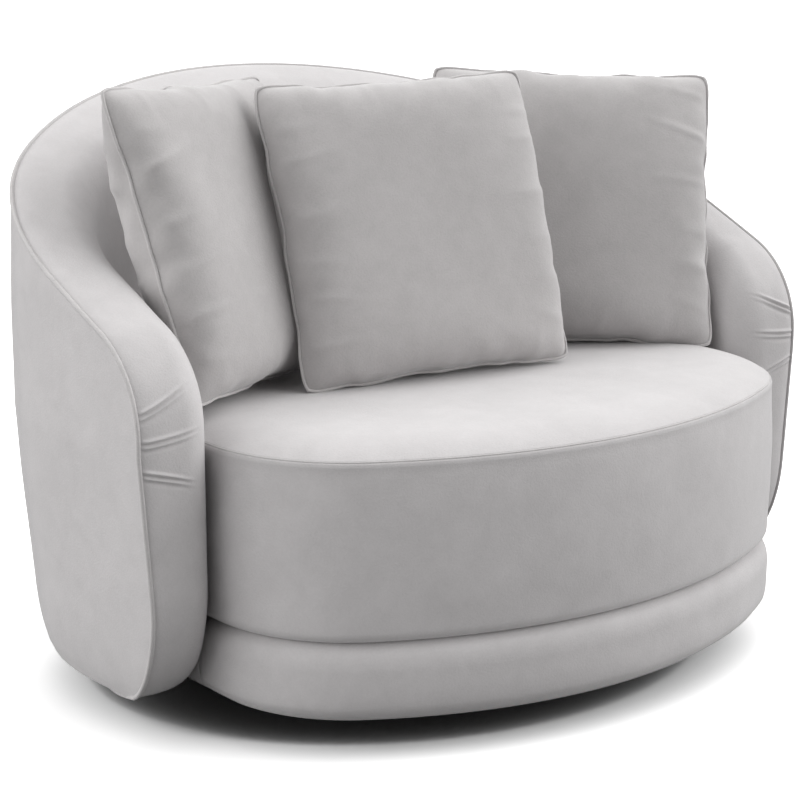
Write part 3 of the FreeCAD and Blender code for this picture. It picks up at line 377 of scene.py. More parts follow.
class Shader:
    """A material or world whose nodes are written as sums of values."""

    def __init__(self, tree):
        self.tree = tree
        tree.nodes.clear()

    def node(self, kind, **settings):
        made = self.tree.nodes.new(kind)
        for key, value in settings.items():
            setattr(made, key, value)
        return made

    def feed(self, socket, value):
        """Links a value to a socket, or sets the socket to a constant."""
        if isinstance(value, Value):
            self.tree.links.new(value.socket, socket)
        else:
            socket.default_value = value

    def coordinates(self, kind="Object"):
        return Value(self, self.node("ShaderNodeTexCoord").outputs[kind])

    def part(self, vector, axis):
        node = self.node("ShaderNodeSeparateXYZ")
        self.feed(node.inputs[0], vector)
        return Value(self, node.outputs[axis])

    def noise(self, vector, scale, detail=2.0, roughness=0.5, distortion=0.0):
        node = self.node("ShaderNodeTexNoise")
        self.feed(node.inputs["Vector"], vector)
        for name, value in (("Scale", scale), ("Detail", detail), ("Roughness", roughness),
                            ("Distortion", distortion)):
            self.feed(node.inputs[name], value)
        return Value(self, node.outputs["Fac"])

    def stretched(self, vector, scale):
        node = self.node("ShaderNodeMapping")
        self.feed(node.inputs["Vector"], vector)
        self.feed(node.inputs["Scale"], scale)
        return Value(self, node.outputs[0])

    def blend(self, share, first, second):
        """A colour between two colours."""
        node = self.node("ShaderNodeMix", data_type="RGBA", clamp_factor=True)
        self.feed(node.inputs["Factor"], share)
        self.feed(node.inputs[6], (*first, 1.0))
        self.feed(node.inputs[7], (*second, 1.0))
        return Value(self, node.outputs[2])

    def bump(self, height, strength, distance):
        node = self.node("ShaderNodeBump")
        self.feed(node.inputs["Height"], height)
        self.feed(node.inputs["Strength"], strength)
        self.feed(node.inputs["Distance"], distance)
        return Value(self, node.outputs[0])

    def surface(self, colour, roughness, normal, **constants):
        node = self.node("ShaderNodeBsdfPrincipled")
        self.feed(node.inputs["Base Color"], colour)
        self.feed(node.inputs["Roughness"], roughness)
        self.feed(node.inputs["Normal"], normal)
        for name, value in constants.items():
            self.feed(node.inputs[name.replace("_", " ")], value)
        self.ends("ShaderNodeOutputMaterial", node)

    def ends(self, kind, node):
        """Links the last node to the tree's output."""
        self.tree.links.new(node.outputs[0], self.node(kind).inputs["Surface"])

    def plain(self, kind, **constants):
        """A simple surface or light with its sockets set."""
        node = self.node(kind)
        for name, value in constants.items():
            self.feed(node.inputs[name], value)
        return node

    def split(self, kind, seen, hidden):
        """Ends the tree with one node for what the camera sees and one for all other rays."""
        mix = self.node("ShaderNodeMixShader")
        path = self.node("ShaderNodeLightPath")
        self.tree.links.new(path.outputs["Is Camera Ray"], mix.inputs[0])
        self.tree.links.new(hidden.outputs[0], mix.inputs[1])
        self.tree.links.new(seen.outputs[0], mix.inputs[2])
        self.ends(kind, mix)


def new_shader(name):
    material = bpy.data.materials.new(name)
    material.use_nodes = True
    return material, Shader(material.node_tree)


def shade(colour, factor):
    return tuple(min(1.0, c * factor) for c in colour[:3])


def velvet_material(name, colour, depth=1.0):
    """Plush velvet: brushed patches, short streaks and fine pile under a soft sheen."""
    material, shader = new_shader(name)
    place = shader.coordinates()
    brushed = shader.noise(place, 7.0, 3.0, 0.55, 0.6)
    patches = shader.noise(place, 31.0, 3.0, 0.6, 0.4)
    pile = shader.noise(place, 900.0, 2.0, 0.6)
    fibres = shader.noise(place, 340.0, 2.0, 0.5)
    nap = (brushed - 0.5) * 0.55 + (patches - 0.5) * 0.6 + (fibres - 0.5) * 0.45 + 0.5
    tone = shader.blend(nap, shade(colour, 1 - 0.13 * depth), shade(colour, 1 + 0.11 * depth))
    height = pile * 0.5 + fibres * 0.8 + patches * 0.6
    shader.surface(tone, 0.8 + pile * 0.15, shader.bump(height, 0.42, 0.0011),
                   Sheen_Weight=0.45, Sheen_Roughness=0.42, Specular_IOR_Level=0.18)
    return material


def cloth_material(name, colour, threads):
    """Plain cloth: crossing threads as two sine waves, with an uneven colour."""
    material, shader = new_shader(name)
    place = shader.coordinates()
    across = (shader.part(place, "X") * threads).sine()
    along = (shader.part(place, "Y") * threads).sine()
    uneven = shader.noise(place, 46.0, 4.0, 0.6)
    fuzz = shader.noise(place, 700.0, 2.0)
    tone = shader.blend(uneven * 0.7 + fuzz * 0.3, shade(colour, 0.72), shade(colour, 1.28))
    height = across * along + fuzz * 0.8
    shader.surface(tone, 0.82 + uneven * 0.12, shader.bump(height, 0.35, 0.0006))
    return material


def wood_material(name, colour, layers):
    """Board: long stretched grain, pores, and the thin layers that show on its edges."""
    material, shader = new_shader(name)
    place = shader.coordinates()
    grain = shader.noise(shader.stretched(place, (3.0, 42.0, 42.0)), 3.2, 5.0, 0.62, 0.8)
    pores = shader.noise(shader.stretched(place, (16.0, 260.0, 260.0)), 4.0, 2.0)
    ply = (shader.part(place, "Z") * layers).sine()
    share = grain * 0.75 + pores * 0.3 + ply * 0.12
    tone = shader.blend(share, shade(colour, 0.62), shade(colour, 1.25))
    shader.surface(tone, 0.5 + pores * 0.25, shader.bump(grain * 0.6 + pores, 0.25, 0.0007))
    return material


def metal_material(name, colour, roughness):
    """Plated or drawn steel: fine brushed lines, cloudy roughness and a few dull spots."""
    material, shader = new_shader(name)
    place = shader.coordinates()
    lines = shader.noise(shader.stretched(place, (900.0, 30.0, 900.0)), 1.0, 3.0)
    clouds = shader.noise(place, 24.0, 4.0, 0.6)
    tone = shader.blend(clouds * 0.7 + lines * 0.3, shade(colour, 0.7), shade(colour, 1.15))
    shader.surface(tone, roughness + clouds * 0.22, shader.bump(lines, 0.12, 0.0003), Metallic=1.0)
    return material


def moulded_material(name, colour, roughness):
    """Moulded rubber or plastic: a fine even grain and faint wear."""
    material, shader = new_shader(name)
    place = shader.coordinates()
    grain = shader.noise(place, 620.0, 2.0)
    wear = shader.noise(place, 38.0, 4.0, 0.65)
    tone = shader.blend(wear, shade(colour, 0.75), shade(colour, 1.35))
    shader.surface(tone, roughness + wear * 0.18, shader.bump(grain, 0.22, 0.0004))
    return material


# Making pieces

def add_piece(name, points, faces, material, body, slot, nodes=()):
    """A smooth mesh from points in millimetres, riding on a body and standing for CAD nodes."""
    mesh = bpy.data.meshes.new(name)
    loops = [tuple(dict.fromkeys(face)) for face in faces.tolist()]
    mesh.from_pydata((points * MM).tolist(), [], loops)
    mesh.polygons.foreach_set("use_smooth", np.ones(len(mesh.polygons), dtype=bool))
    mesh.update()
    made = bpy.data.objects.new(name, mesh)
    bpy.context.scene.collection.objects.link(made)
    made.data.materials.append(material)
    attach(made, body)
    if nodes:
        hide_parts(*nodes)
    return made


def stage_sheet(name, corners, material):
    """A flat sheet of the stage, in metres."""
    mesh = bpy.data.meshes.new(name)
    mesh.from_pydata(corners, [], [list(range(len(corners)))])
    mesh.materials.append(material)
    made = bpy.data.objects.new(name, mesh)
    bpy.context.scene.collection.objects.link(made)
    return made


def joined(parts):
    """Several point and face arrays as one pair."""
    points, faces, start = [], [], 0
    for part_points, part_faces in parts:
        points.append(part_points)
        faces.append(part_faces + start)
        start += len(part_points)
    return np.concatenate(points), np.concatenate(faces)


def tub_stations():
    """Where each ribbon line across the tub starts at the piping and ends at the inner edge.

    Returns lengths along the top line and half widths, for the piping and for the inner edge,
    with the first index of the slope and of the rounded back.
    """
    foot = np.concatenate([np.linspace(0, 300, 32), np.linspace(300, FOOT_LENGTH, 58)[1:]])
    corner = FOOT_LENGTH + np.concatenate([np.linspace(0, GATHERED_LENGTH, 50)[1:],
                                           np.linspace(GATHERED_LENGTH, CORNER_LENGTH, 16)[1:]])
    slope_start = CORNER_Y - CORNER_RADIUS * np.cos(CORNER_TURN)
    outer_y = np.linspace(slope_start, 0, 20)[1:]
    inner_end = on_crest(inner_arch, np.zeros(1))[1][0]
    inner_y = np.linspace(slope_start, inner_end, 20)[1:]
    share = np.linspace(0, 1, 110)[1:]
    lengths = np.concatenate([foot, corner])
    y, z, _, _ = crest(lengths)
    outer_x, outer_back_y, _ = on_crest(outer_arch, share)
    inner_x, inner_back_y, _ = on_crest(inner_arch, share)
    outer = np.concatenate([lengths, crest_length(outer_y), crest_length(outer_back_y)])
    inner = np.concatenate([lengths, crest_length(inner_y), crest_length(inner_back_y)])
    half = np.concatenate([outer_half(set_back(y, z), z),
                           outer_half(outer_y, crest_height(outer_y)), outer_x])
    edge = np.concatenate([np.full(len(lengths) + len(inner_y), INSIDE_HALF), inner_x])
    outer_share = np.concatenate([np.zeros(len(lengths) + len(outer_y)), share])
    return {"outer": outer, "half": half, "inner": inner, "edge": edge, "share": outer_share,
            "corner": len(foot), "slope": len(lengths), "back": len(lengths) + len(outer_y)}


def gather_height(length, reach):
    """Gathered folds by the arm corner: twin fine ridges that start at the piping and fade.

    Each fold follows a parabola over the front; across it the height is two narrow bells with
    a shallow dip between them.
    """
    total = np.zeros(np.broadcast(length, reach).shape)
    for start, end, bend, span in GATHERS:
        along = np.clip(reach / span, 0, 1.4)
        middle = start + (end - start) * along + bend * along ** 2
        away = length - middle
        fade = smooth(reach / 8) * (1 - smooth((reach / span - 0.35) / 0.75))
        ridges = np.exp(-((away - 4) / 2.3) ** 2) + 0.75 * np.exp(-((away + 4) / 2.3) ** 2)
        dip = np.exp(-(away / 2.2) ** 2) + 0.6 * np.exp(-((away + 9) / 3.5) ** 2)
        total += fade * (3.3 * ridges - 2.2 * dip)
    return total


def inside_grids(crown, fillet):
    """Inside panel of the tub: over the arm fronts and crest, round the edge, down inside.

    The round edge is a rational quadratic curve between the ribbon over the top and the line
    down inside. Returns the upper and the lower grid, and the piping's line on the right side.
    """
    at = tub_stations()
    count = len(at["outer"])
    share = np.concatenate([[0, 0.012, 0.03, 0.055, 0.085], np.linspace(0.12, 1, 26)])[:, None]
    outer, inner, half, edge = (at[key][None, :] for key in ("outer", "inner", "half", "edge"))
    inner_y, inner_z, _, _ = crest(inner)
    sharp = np.stack([edge, inner_y, inner_z], axis=-1)
    outer_y, outer_z, _, _ = crest(outer)
    start = np.stack([half, outer_y, outer_z], axis=-1)
    width = np.linalg.norm(start - sharp, axis=-1)

    # The line down inside ends at the height of the corner's centre, or at its depth
    target = sharp.copy()
    index = np.arange(count)
    slope_share = np.clip((index - at["slope"] + 1) / (at["back"] - at["slope"]), 0, 1)
    low_start = inside_back(CORNER_Z) - INSIDE_ARCH
    target[0, :, 1] = CORNER_Y + slope_share * (low_start - CORNER_Y)
    target[0, :, 2] = np.where(index < at["corner"], inner_z[0], CORNER_Z)
    back_x, back_y = inner_arch(at["share"][at["back"]:], np.full(count - at["back"], CORNER_Z))
    target[0, at["back"]:, 0] = back_x
    target[0, at["back"]:, 1] = back_y
    down = target - sharp
    down = down / np.linalg.norm(down, axis=-1, keepdims=True)

    # Rounded inner edge between the ribbon and the line down
    toward = start - sharp
    toward = toward / np.linalg.norm(toward, axis=-1, keepdims=True)
    open_angle = np.arccos(np.clip((toward * down).sum(-1), -1, 1))
    cut = np.minimum(fillet / np.tan(open_angle / 2), 0.86 * width)[..., None]
    foot_round = 1 - smooth(outer / 60)
    cut = np.minimum(cut * (1 + 0.25 * foot_round[..., None]), 0.9 * width[..., None])

    ribbon_width = width[..., None] - cut
    ribbon_s = outer + (inner - outer) * share * (ribbon_width[..., 0] / width)
    ribbon_x = half + (edge - half) * share * (ribbon_width[..., 0] / width)
    flat_y, flat_z, n_y, n_z = crest(ribbon_s)
    ribbon = np.stack([ribbon_x, flat_y, flat_z], axis=-1)
    out = np.stack([np.zeros_like(n_y), n_y, n_z], axis=-1)

    wall_start = sharp + down * cut
    turn = np.linspace(0, 1, 19)[1:, None, None]
    weight = np.sin(open_angle / 2)[..., None]
    base = (1 - turn) ** 2 + 2 * weight * turn * (1 - turn) + turn ** 2
    bend = ((1 - turn) ** 2 * ribbon[-1:] + 2 * weight * turn * (1 - turn) * sharp
            + turn ** 2 * wall_start) / base

    # The cover bulges over the arms and back, and has its gathers and waves
    reach = ribbon_width[..., 0] * share
    total = width + 0.5 * cut[..., 0]
    lift = crown * (1 - np.exp(-reach / 13)) * (1 - smooth((reach / total - 0.35) / 0.65))
    lift += gather_height(ribbon_s, reach) * (ribbon_s < GATHERS_END)
    lift += 1.1 * ripple(ribbon_s, ribbon_x, 11) * smooth(reach / 30)
    ribbon = ribbon + out * lift[..., None]
    bend_reach = ribbon_width[..., 0] + turn[..., 0] * cut[..., 0] * 1.5
    fall = crown * (1 - smooth((bend_reach / total - 0.35) / 0.65))
    late = 1 - smooth(turn[..., 0])
    fall += (gather_height(ribbon_s[-1:], bend_reach) * (ribbon_s[-1:] < GATHERS_END)
             + 1.1 * ripple(ribbon_s[-1:], ribbon_x[-1:], 11)) * late
    bend = bend + out[-1:] * fall[..., None]

    rest = np.linspace(0, 1, 16)[1:, None, None]
    wall = wall_start + rest * (target - wall_start)
    upper = np.concatenate([ribbon, bend, wall], axis=0)

    upper[..., 1] = set_back(upper[..., 1], upper[..., 2])
    start[..., 1] = set_back(start[..., 1], start[..., 2])

    # The rest of the inside, down to the deck
    steps = np.linspace(0, 1, 24)[:, None]
    columns = target[0, at["slope"] - 1:]
    shares = at["share"][at["slope"] - 1:]
    z = CORNER_Z + steps * (FLOOR_GAP + 4 - CORNER_Z) + 0 * shares[None, :]
    low_x, low_y = inner_arch(shares[None, :] + 0 * steps, z)
    straight = np.clip((columns[:, 1] - CORNER_Y) / (low_start - CORNER_Y), 0, 1)[None, :]
    edge_y = CORNER_Y + straight * (inside_back(z) - INSIDE_ARCH - CORNER_Y)
    low_y = np.where(shares[None, :] > 0, low_y, edge_y)
    lower = np.stack([low_x, low_y, z], axis=-1)
    return both_sides(upper), both_sides(lower), start[0]


def outside_grid():
    """Outside panel of the tub: upright lines from the piping down, turned in at the foot."""
    at = tub_stations()
    first = at["corner"] - 1
    outer, share = at["outer"][first:], at["share"][first:]
    y_top, z_top, _, _ = crest(outer)
    steps = np.concatenate([[0, 0.006, 0.014, 0.025, 0.04, 0.06], np.linspace(0.085, 1, 44)])[:, None]
    z = z_top + steps * (FLOOR_GAP + 10 - z_top)
    arch_x, arch_y = outer_arch(share[None, :] + 0 * steps, z)
    y = np.where(share > 0, arch_y, set_back(y_top[None, :] + 0 * z, z))
    x = np.where(share > 0, arch_x, outer_half(y, z))
    grid = np.stack([x, y, z], axis=-1)

    # The turned-in edge: a quarter round of 10 mm, and then flat under the foot
    turn = np.linspace(0, np.pi / 2, 7)[1:]
    inward = np.concatenate([10 * (1 - np.cos(turn)), [16.0, 30.0, 44.0]])[:, None]
    low = np.concatenate([FLOOR_GAP + 10 - 10 * np.sin(turn), np.full(3, FLOOR_GAP + 0.3)])[:, None]
    low = low + 0 * y_top[None, :]
    line_y = np.where(share > 0, y[-1:], set_back(y_top[None, :], low))
    line_x = np.where(share > 0, x[-1:], outer_half(line_y, FLOOR_GAP + 10))
    kept = 1 - inward / np.hypot(line_x, line_y)
    tuck = np.stack([line_x * kept, line_y * kept, low], axis=-1)
    grid = both_sides(np.concatenate([grid, tuck], axis=0))
    out = normals(grid)
    middle = out.shape[1] // 2
    out = out * np.sign(out[20, middle, 1])
    near_top = grid[:1, :, 2] - grid[..., 2]
    near_front = np.abs(grid[..., 1] - set_back(np.full(grid.shape[:2], ARM_FRONT), grid[..., 2]))
    puff = 2.6 * (1 - np.exp(-near_top / 12)) * (1 - np.exp(-near_front / 14))
    inner = smooth(near_top / 60) * smooth(near_front / 50)
    puff += 1.6 * ripple(grid[..., 0] + grid[..., 1], grid[..., 2] * 0.5, 5) * inner
    puff *= smooth((grid[..., 2] - FLOOR_GAP) / 20)
    return grid + out * puff[..., None]


def there_and_back(count):
    """Shares from 0 to 1 and back to 0, and the side they are on: 1 on the way, -1 after it."""
    share = np.concatenate([np.linspace(0, 1, count), np.linspace(1, 0, count)[1:]])
    return share, np.where(np.arange(len(share)) < count, 1.0, -1.0)


def seat_loop(z, inset, swell):
    """Outline of the seat cushion: a front arch, straight sides and the arch of the back."""
    half = SEAT_HALF - inset
    front_share, side = there_and_back(84)
    depth = SEAT_FRONT - inset + 5 * swell
    front_x, front_y = arch(front_share, half, depth, FRONT_RADIUS - inset)
    start = inside_back(z) - INSIDE_ARCH
    rear_share, rear_side = there_and_back(64)
    rear_x, rear_y = arch(rear_share, half, INSIDE_ARCH - 1 - inset, REAR_RADIUS - inset)
    climb = np.linspace(0, 1, 24)[1:-1]
    side_y = SEAT_SIDE_Y + climb * (start - SEAT_SIDE_Y)
    x = np.concatenate([side * front_x, np.full(22, -half), -rear_side * rear_x, np.full(22, half)])
    y = np.concatenate([SEAT_SIDE_Y - front_y, side_y, start + rear_y, side_y[::-1]])
    return np.stack([x, y, np.full_like(x, z)], axis=-1)


def seat_band_inset(z):
    """Bulging side of the seat: squares of the distance from its middle height, foot rounded."""
    middle = (SEAT_FOOT + SEAM_HEIGHT) / 2
    share = (z - middle) / (SEAM_HEIGHT - middle)
    inset = np.where(share > 0, 4, 3) * share ** 2
    into_foot = np.clip(SEAT_FOOT + 16 - z, 0, 16)
    return inset + 16 - np.sqrt(16 ** 2 - into_foot ** 2), 1 - share ** 2


def seat_grid():
    """Rings of the seat cushion from the middle of its underside to the middle of its crown."""
    rings = []
    foot = seat_loop(SEAT_FOOT, 19.0, 0.0)
    centre = np.array([0.0, -70.0, 0.0])
    for scale in (0.02, 0.3, 0.6, 0.85, 0.97):
        rings.append((foot - centre) * np.array([scale, scale, 1.0]) + centre)
    rounding = 16 * (1 - np.cos(np.linspace(0.15, np.pi / 2, 7)))
    heights = np.concatenate([SEAT_FOOT + rounding, np.linspace(188, 404, 30),
                              [407, 409.5, 411.5, 413.2]])
    for z in heights:
        inset, swell = seat_band_inset(z)
        rings.append(seat_loop(z, inset - 0.9 * np.exp(-((z - 408.5) / 2.5) ** 2), swell))
    rings.append(seat_loop(SEAM_HEIGHT, 8.2, 0.0))
    for away in (0.0, 1.6, 3.4, 5.6, 8.5, 12, 17, 23, 31, 41, 54, 70, 90, 112, 138, 170):
        lip = 1.8 * smooth(away / 4)
        rise = 22 * (1 - (1 - away / 170) ** 5.2)
        rings.append(seat_loop(SEAM_HEIGHT + 0.8 + max(rise, lip), 6.4 + away * 0.965, 0.0))
    last = rings[-1]
    for scale in (0.93, 0.85, 0.76, 0.66, 0.55, 0.43, 0.3, 0.16, 0.02):
        ring = (last - centre) * np.array([scale, scale, 1.0]) + centre
        ring[:, 2] += 1.2 * (1 - scale)
        rings.append(ring)
    return np.stack(rings)


def closed_rings(grid):
    """Rings closed with a face over each end, turned outwards."""
    rows, columns, _ = grid.shape
    points = np.concatenate([grid.reshape(-1, 3), grid[:1].mean(1), grid[-1:].mean(1)])
    ring = np.arange(columns)
    low_centre = rows * columns
    faces = np.concatenate([grid_faces(rows, columns, closed=True), cap(ring[::-1], low_centre),
                            cap(low_centre - columns + ring, low_centre + 1)])
    return points, facing_out(points, faces)


def border_profile():
    """Levels of the border from its underside to its top, and how far its face draws in there."""
    share = np.array([0, 0.06, 0.17, 0.28, 0.4, 0.55, 0.7, 0.79, 0.86, 0.91, 0.95, 0.98, 1.0])
    inset = np.array([24, 12, 3, 0.8, 0, 0, 0, 1.5, 4, 7.5, 12, 17, 22.0])
    fine = np.linspace(0, 1, 34)
    fine_inset = np.interp(fine, share, inset)
    soft = np.convolve(np.pad(fine_inset, 2, mode="edge"), np.ones(3) / 3, mode="same")[2:-2]
    return fine, soft


def border_grid():
    """Rings of the rounded border roll under the seat, from its underside to its top."""
    fine, soft = border_profile()
    across, side = there_and_back(96)
    edge = np.linspace(SEAT_SIDE_Y, BORDER_REAR, 6)[1:-1]
    back = np.linspace(-1, 1, 60)
    rings = []
    for level, drawn in zip(fine, soft):
        half = SEAT_HALF - drawn
        x, y = arch(across, half, BORDER_FRONT - drawn, FRONT_RADIUS - drawn)
        loop_x = np.concatenate([side * x, np.full(4, -half), back * half, np.full(4, half)])
        loop_y = np.concatenate([SEAT_SIDE_Y - y, edge, np.full(60, BORDER_REAR), edge[::-1]])
        height = np.full_like(loop_x, FLOOR_GAP + BORDER_HEIGHT * level)
        rings.append(np.stack([loop_x, loop_y, height], axis=-1))
    rings = np.stack(rings)
    centre = np.array([0.0, -190.0, 0.0])
    inner = [0.05, 0.4, 0.75, 0.93]
    low = [(rings[0] - centre) * np.array([s, s, 1.0]) + centre for s in inner]
    top = [(rings[-1] - centre) * np.array([s, s, 1.0]) + centre for s in inner[::-1]]
    return np.stack([*low, *rings, *top])


def border_wing(side):
    """The border's cloth carried on along the side of the seat box, behind the arm's foot."""
    fine, soft = border_profile()
    y, drawn = np.meshgrid(np.linspace(BORDER_REAR - 1, -30, 15), soft[::-1])
    z = FLOOR_GAP + 0.3 + (BORDER_HEIGHT - 0.4) * fine[::-1, None] + 0 * y
    grid = np.stack([side * (SEAT_HALF - 0.2 - drawn), y, z], axis=-1)
    return cloth_shell(grid, lambda point: np.array([side, 0.0, 0.0]), 2.0)


def blown_cushion(name, pressure, seed):
    """Two square panels sewn at their edges and blown up by cloth simulation.

    Returns the grids of its front and back, with the cushion flat in XY. The simulation works
    in metres.
    """
    count = CLOTH_POINTS
    line = np.linspace(-0.5, 0.5, count)
    x, y = np.meshgrid(line, line)
    spread = np.random.default_rng(seed)
    edge = np.minimum(0.5 - np.abs(x), 0.5 - np.abs(y))
    swell = smooth(edge / 0.1) * 0.02 + 0.003 * (edge > 1e-6)
    jitter = 0.0005 * spread.standard_normal(x.shape) * (edge > 1e-6)
    front = (np.stack([x, y, swell + jitter], axis=-1) * CLOTH_SIDE).reshape(-1, 3)
    back = front * np.array([1.0, 1.0, -1.0])
    inner = edge.reshape(-1) > 1e-6
    back_index = np.arange(count * count)
    back_index[inner] = count * count + np.arange(inner.sum())
    faces = grid_faces(count, count)
    all_faces = np.concatenate([faces, back_index[faces][:, ::-1]])
    points = np.concatenate([front, back[inner]])
    mesh = bpy.data.meshes.new(name + "_cloth")
    mesh.from_pydata(points.tolist(), [], all_faces.tolist())
    made = bpy.data.objects.new(name + "_cloth", mesh)
    bpy.context.scene.collection.objects.link(made)
    modifier = made.modifiers.new("Cloth", "CLOTH")
    cloth = modifier.settings
    cloth.quality = 6
    cloth.mass = 0.25
    cloth.tension_stiffness = 30
    cloth.compression_stiffness = 12
    cloth.shear_stiffness = 6
    cloth.bending_stiffness = 0.06
    cloth.use_pressure = True
    cloth.uniform_pressure_force = pressure
    cloth.effector_weights.gravity = 0
    modifier.collision_settings.use_collision = False
    scene = bpy.context.scene
    result = points
    for step in range(1, CLOTH_STEPS + 1):
        scene.frame_set(step)
        solved = made.evaluated_get(bpy.context.evaluated_depsgraph_get())
        flat = np.empty(len(solved.data.vertices) * 3)
        solved.data.vertices.foreach_get("co", flat)
        result = flat.reshape(-1, 3)
        if np.ptp(result[:, 2]) > CLOTH_HEIGHT:
            break
    bpy.data.objects.remove(made)
    bpy.data.meshes.remove(mesh)
    result -= (result.max(0) + result.min(0)) / 2
    span = result.max(0) - result.min(0)
    result *= np.array([CUSHION_SIZE, CUSHION_SIZE, CUSHION_THICK]) / span
    result = less_drawn(result, count)
    front = result[:count * count].reshape(count, count, 3)
    return front, result[back_index].reshape(count, count, 3)


def less_drawn(points, count):
    """Lets the sides draw in by a set depth: each row and column is widened to a cosine outline.

    The corners are rounded: points near them move inwards by up to a fortieth.
    """
    front = points[:count * count].reshape(count, count, 3)
    for axis in (0, 1):
        first, last = (front[:, 0], front[:, -1]) if axis == 0 else (front[0], front[-1])
        place = (first[:, 1 - axis] + last[:, 1 - axis]) / 2
        half = (last[:, axis] - first[:, axis]) / 2
        wanted = CUSHION_HALF - CUSHION_DRAW * np.cos(np.pi * np.clip(place / CUSHION_SIZE, -0.5, 0.5))
        order = np.argsort(place)
        factor = np.interp(points[:, 1 - axis], place[order], (wanted / half)[order])
        points[:, axis] *= factor
    corner = np.abs(points[:, 0] * points[:, 1]) / CUSHION_HALF ** 2
    points[:, :2] *= 1 - 0.025 * smooth((corner - 0.91) / 0.09)[:, None]
    return points


def softened(grid, times):
    """Evens out a grid: quarter, half and quarter of the neighbours along both axes."""
    grid = grid.copy()
    for _ in range(times):
        grid[1:-1] = (grid[:-2] + 2 * grid[1:-1] + grid[2:]) / 4
        grid[:, 1:-1] = (grid[:, :-2] + 2 * grid[:, 1:-1] + grid[:, 2:]) / 4
    return grid


def puckers(grid, seed):
    """Folds square to the seams: low bells along the edge that fade inwards, most of them
    lying across from the two upright sides."""
    spread = np.random.default_rng(seed)
    x, y, z = (grid[..., k] for k in range(3))
    rise = np.zeros(x.shape)
    for side in range(4):
        seam = CUSHION_HALF - CUSHION_DRAW
        along, away = ((y, seam - np.abs(x)), (x, seam - np.abs(y)))[side % 2]
        own = (x > 0, y > 0, x < 0, y < 0)[side]
        upright = side % 2 == 0
        for step in range(6 if upright else 4):
            middle = -165 + (66 if upright else 105) * step + spread.uniform(-18, 18)
            tilt = spread.uniform(-0.2, 0.3)
            reach = spread.uniform(60, 130) if upright else spread.uniform(30, 60)
            tall = spread.uniform(1.0, 2.6) if upright else spread.uniform(0.5, 1.3)
            bell = np.exp(-((along - middle - tilt * away) / spread.uniform(6.5, 11)) ** 2)
            rise += own * tall * bell * smooth(away / 12) * (1 - smooth((away - 12) / reach))
    out = normals(grid)
    return grid + out * rise[..., None] * np.sign(out[30, 30, 2] * z[30, 30])


def doubled(grid):
    """A grid with a point added between each two, by the four-point rule, which keeps it smooth."""
    for axis in (0, 1):
        moved = np.swapaxes(grid, 0, axis)
        padded = np.concatenate([2 * moved[:1] - moved[1:2], moved, 2 * moved[-1:] - moved[-2:-1]])
        between = (9 * (moved[:-1] + moved[1:]) - padded[:-3] - padded[3:]) / 16
        fine = np.empty((2 * len(moved) - 1, *moved.shape[1:]))
        fine[0::2] = moved
        fine[1::2] = between
        grid = np.swapaxes(fine, 0, axis)
    return grid


def sewn(front, back):
    """One closed form of two grids that share their outer edge."""
    count = len(front)
    index = np.arange(count * count).reshape(count, count)
    inner = np.zeros((count, count), dtype=bool)
    inner[1:-1, 1:-1] = True
    back_index = index.copy()
    back_index[inner] = count * count + np.arange(inner.sum())
    faces = grid_faces(count, count)
    joined_faces = np.concatenate([faces, back_index.reshape(-1)[faces][:, ::-1]])
    points = np.concatenate([front.reshape(-1, 3), back[inner]])
    return points, facing_out(points, joined_faces)


def rim_of(grid):
    """The outer edge of a square grid as a closed loop."""
    return np.concatenate([grid[0, :-1], grid[:-1, -1], grid[-1, :0:-1], grid[:0:-1, 0]])


def zip_strip(line, across, out, width):
    """A zip along a line: flat tapes with the coil between, its turns as a fine sine wave."""
    share = np.array([-1, -0.6, -0.34, -0.2, -0.08, 0.08, 0.2, 0.34, 0.6, 1.0])
    rise = np.array([0.2, 0.5, 0.5, 1.3, 1.7, 1.7, 1.3, 0.5, 0.5, 0.2])
    turns = 0.35 * np.sin(np.arange(len(line)) * np.pi / 2)
    height = rise[None, :] + turns[:, None] * (rise[None, :] > 1)
    grid = (line[:, None, :] + across[:, None, :] * share[None, :, None] * width / 2
            + out[:, None, :] * height[..., None])
    towards = out[len(out) // 2]
    return cloth_shell(grid, lambda point: towards, 0.6)


# Settings shown in the sidebar

def length_setting(label, text, value, low, high):
    return bpy.props.FloatProperty(name=label, description=text, default=value, min=low, max=high,
                                   subtype="DISTANCE", unit="LENGTH")


def number_setting(label, text, value):
    return bpy.props.FloatProperty(name=label, description=text, default=value, min=0)


def colour_setting(label, text, value):
    return bpy.props.FloatVectorProperty(name=label, description=text, default=value, size=3,
                                         min=0, max=1, subtype="COLOR")


class ChairSizes(bpy.types.PropertyGroup):
    crown: length_setting("Crown", "How far the cover bulges over the arms and back", 0.008, 0, 0.02)
    fillet: length_setting("Inner edge", "Radius of the rounded inner edge of the arms", 0.056,
                           0.02, 0.07)
    welt: length_setting("Tub piping", "Radius of the piping round the tub", 0.0034, 0.001, 0.006)
    cushion_welt: length_setting("Cushion piping", "Radius of the cushion piping", 0.0025, 0.001,
                                 0.005)
    zip_width: length_setting("Zip width", "Width of the zips", 0.008, 0.004, 0.012)
    pressure: bpy.props.FloatProperty(name="Filling", description="How hard the cushions are filled",
                                      default=4.0, min=1, max=10)


